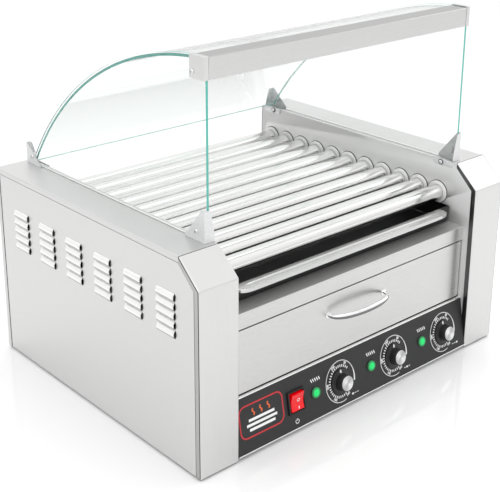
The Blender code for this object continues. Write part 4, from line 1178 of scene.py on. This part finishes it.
# ---- Stage --------------------------------------------------------------------------------------------
def stage():
    surface = Surface("floor_white", (0.90, 0.90, 0.90), 0.05)
    grains = surface.noise((4.0, 4.0, 4.0), 2.0)
    surface.vary_roughness(grains, 0.035, 0.06)
    bm = bmesh.new()
    bmesh.ops.create_grid(bm, x_segments=2, y_segments=2, size=12.0)
    mesh = bpy.data.meshes.new("floor")
    bm.to_mesh(mesh)
    bm.free()
    mesh.materials.append(surface.material)
    floor = bpy.data.objects.new("floor", mesh)
    bpy.context.scene.collection.objects.link(floor)

    world = bpy.data.worlds.new("studio")
    bpy.context.scene.world = world
    world.use_nodes = True
    nodes, links = world.node_tree.nodes, world.node_tree.links
    background = nodes["Background"]
    background.inputs["Strength"].default_value = 1.0
    coordinates = nodes.new("ShaderNodeTexCoord")
    height = nodes.new("ShaderNodeSeparateXYZ")
    ramp = nodes.new("ShaderNodeValToRGB")
    ramp.color_ramp.elements[0].position = 0.0
    ramp.color_ramp.elements[0].color = (0.90, 0.90, 0.90, 1.0)
    ramp.color_ramp.elements[1].position = 0.55
    ramp.color_ramp.elements[1].color = (1.12, 1.12, 1.12, 1.0)
    links.new(coordinates.outputs["Generated"], height.inputs["Vector"])
    links.new(height.outputs["Z"], ramp.inputs["Fac"])
    links.new(ramp.outputs["Color"], background.inputs["Color"])

    def area(name, place, target, size, power):
        light = bpy.data.lights.new(name, "AREA")
        light.shape = "RECTANGLE"
        light.size, light.size_y = size
        light.energy = power
        lamp = bpy.data.objects.new(name, light)
        lamp.location = place
        aim = Vector(target) - Vector(place)
        lamp.rotation_euler = aim.to_track_quat("-Z", "Y").to_euler()
        lamp.visible_camera = False
        bpy.context.scene.collection.objects.link(lamp)

    area("key", (-1.2, -1.8, 2.2), (0.0, 0.0, 0.2), (1.6, 1.2), 12.0)
    area("top", (0.2, 0.3, 2.4), (0.0, 0.0, 0.2), (2.2, 1.6), 12.0)
    area("side", (2.2, -0.8, 1.2), (0.0, 0.0, 0.2), (1.2, 1.6), 5.0)

    camera_data = bpy.data.cameras.new("camera")
    camera_data.sensor_width = 36.0
    camera_data.lens = 1082.27 / 500.0 * 36.0
    camera_data.shift_x = 0.0
    camera_data.shift_y = -0.15
    camera_data.clip_start = 0.05
    camera_data.clip_end = 60.0
    azimuth, elevation, roll = (math.radians(v) for v in (-41.7243, 19.1755, 0.298))
    back = Vector(
        (math.sin(azimuth) * math.cos(elevation), -math.cos(azimuth) * math.cos(elevation), math.sin(elevation))
    )
    right = (-back).cross(Vector((0.0, 0.0, 1.0))).normalized()
    up = right.cross(-back)
    level_right = right * math.cos(roll) + up * math.sin(roll)
    level_up = up * math.cos(roll) - right * math.sin(roll)
    camera = bpy.data.objects.new("camera", camera_data)
    position = Vector((-0.70768 - 0.290, -0.88130, 0.79441)) + ORIGIN
    rotation = Matrix((level_right, level_up, back)).transposed().to_4x4()
    camera.matrix_world = Matrix.Translation(position) @ rotation
    bpy.context.scene.collection.objects.link(camera)
    bpy.context.scene.camera = camera
    bpy.context.scene.view_settings.view_transform = "Standard"
    bpy.context.scene.view_settings.look = "None"


housing_posts()
housing_walls()
side_covers()
seam_lines()
rear_sheet()
underside()
roller_set()
insides()
deck_sheet()
drip_tray()
drawer_front()
control_panel()
knobs()
lamps()
power_switch()
canopy()
brackets()
loose_screws()
stage()
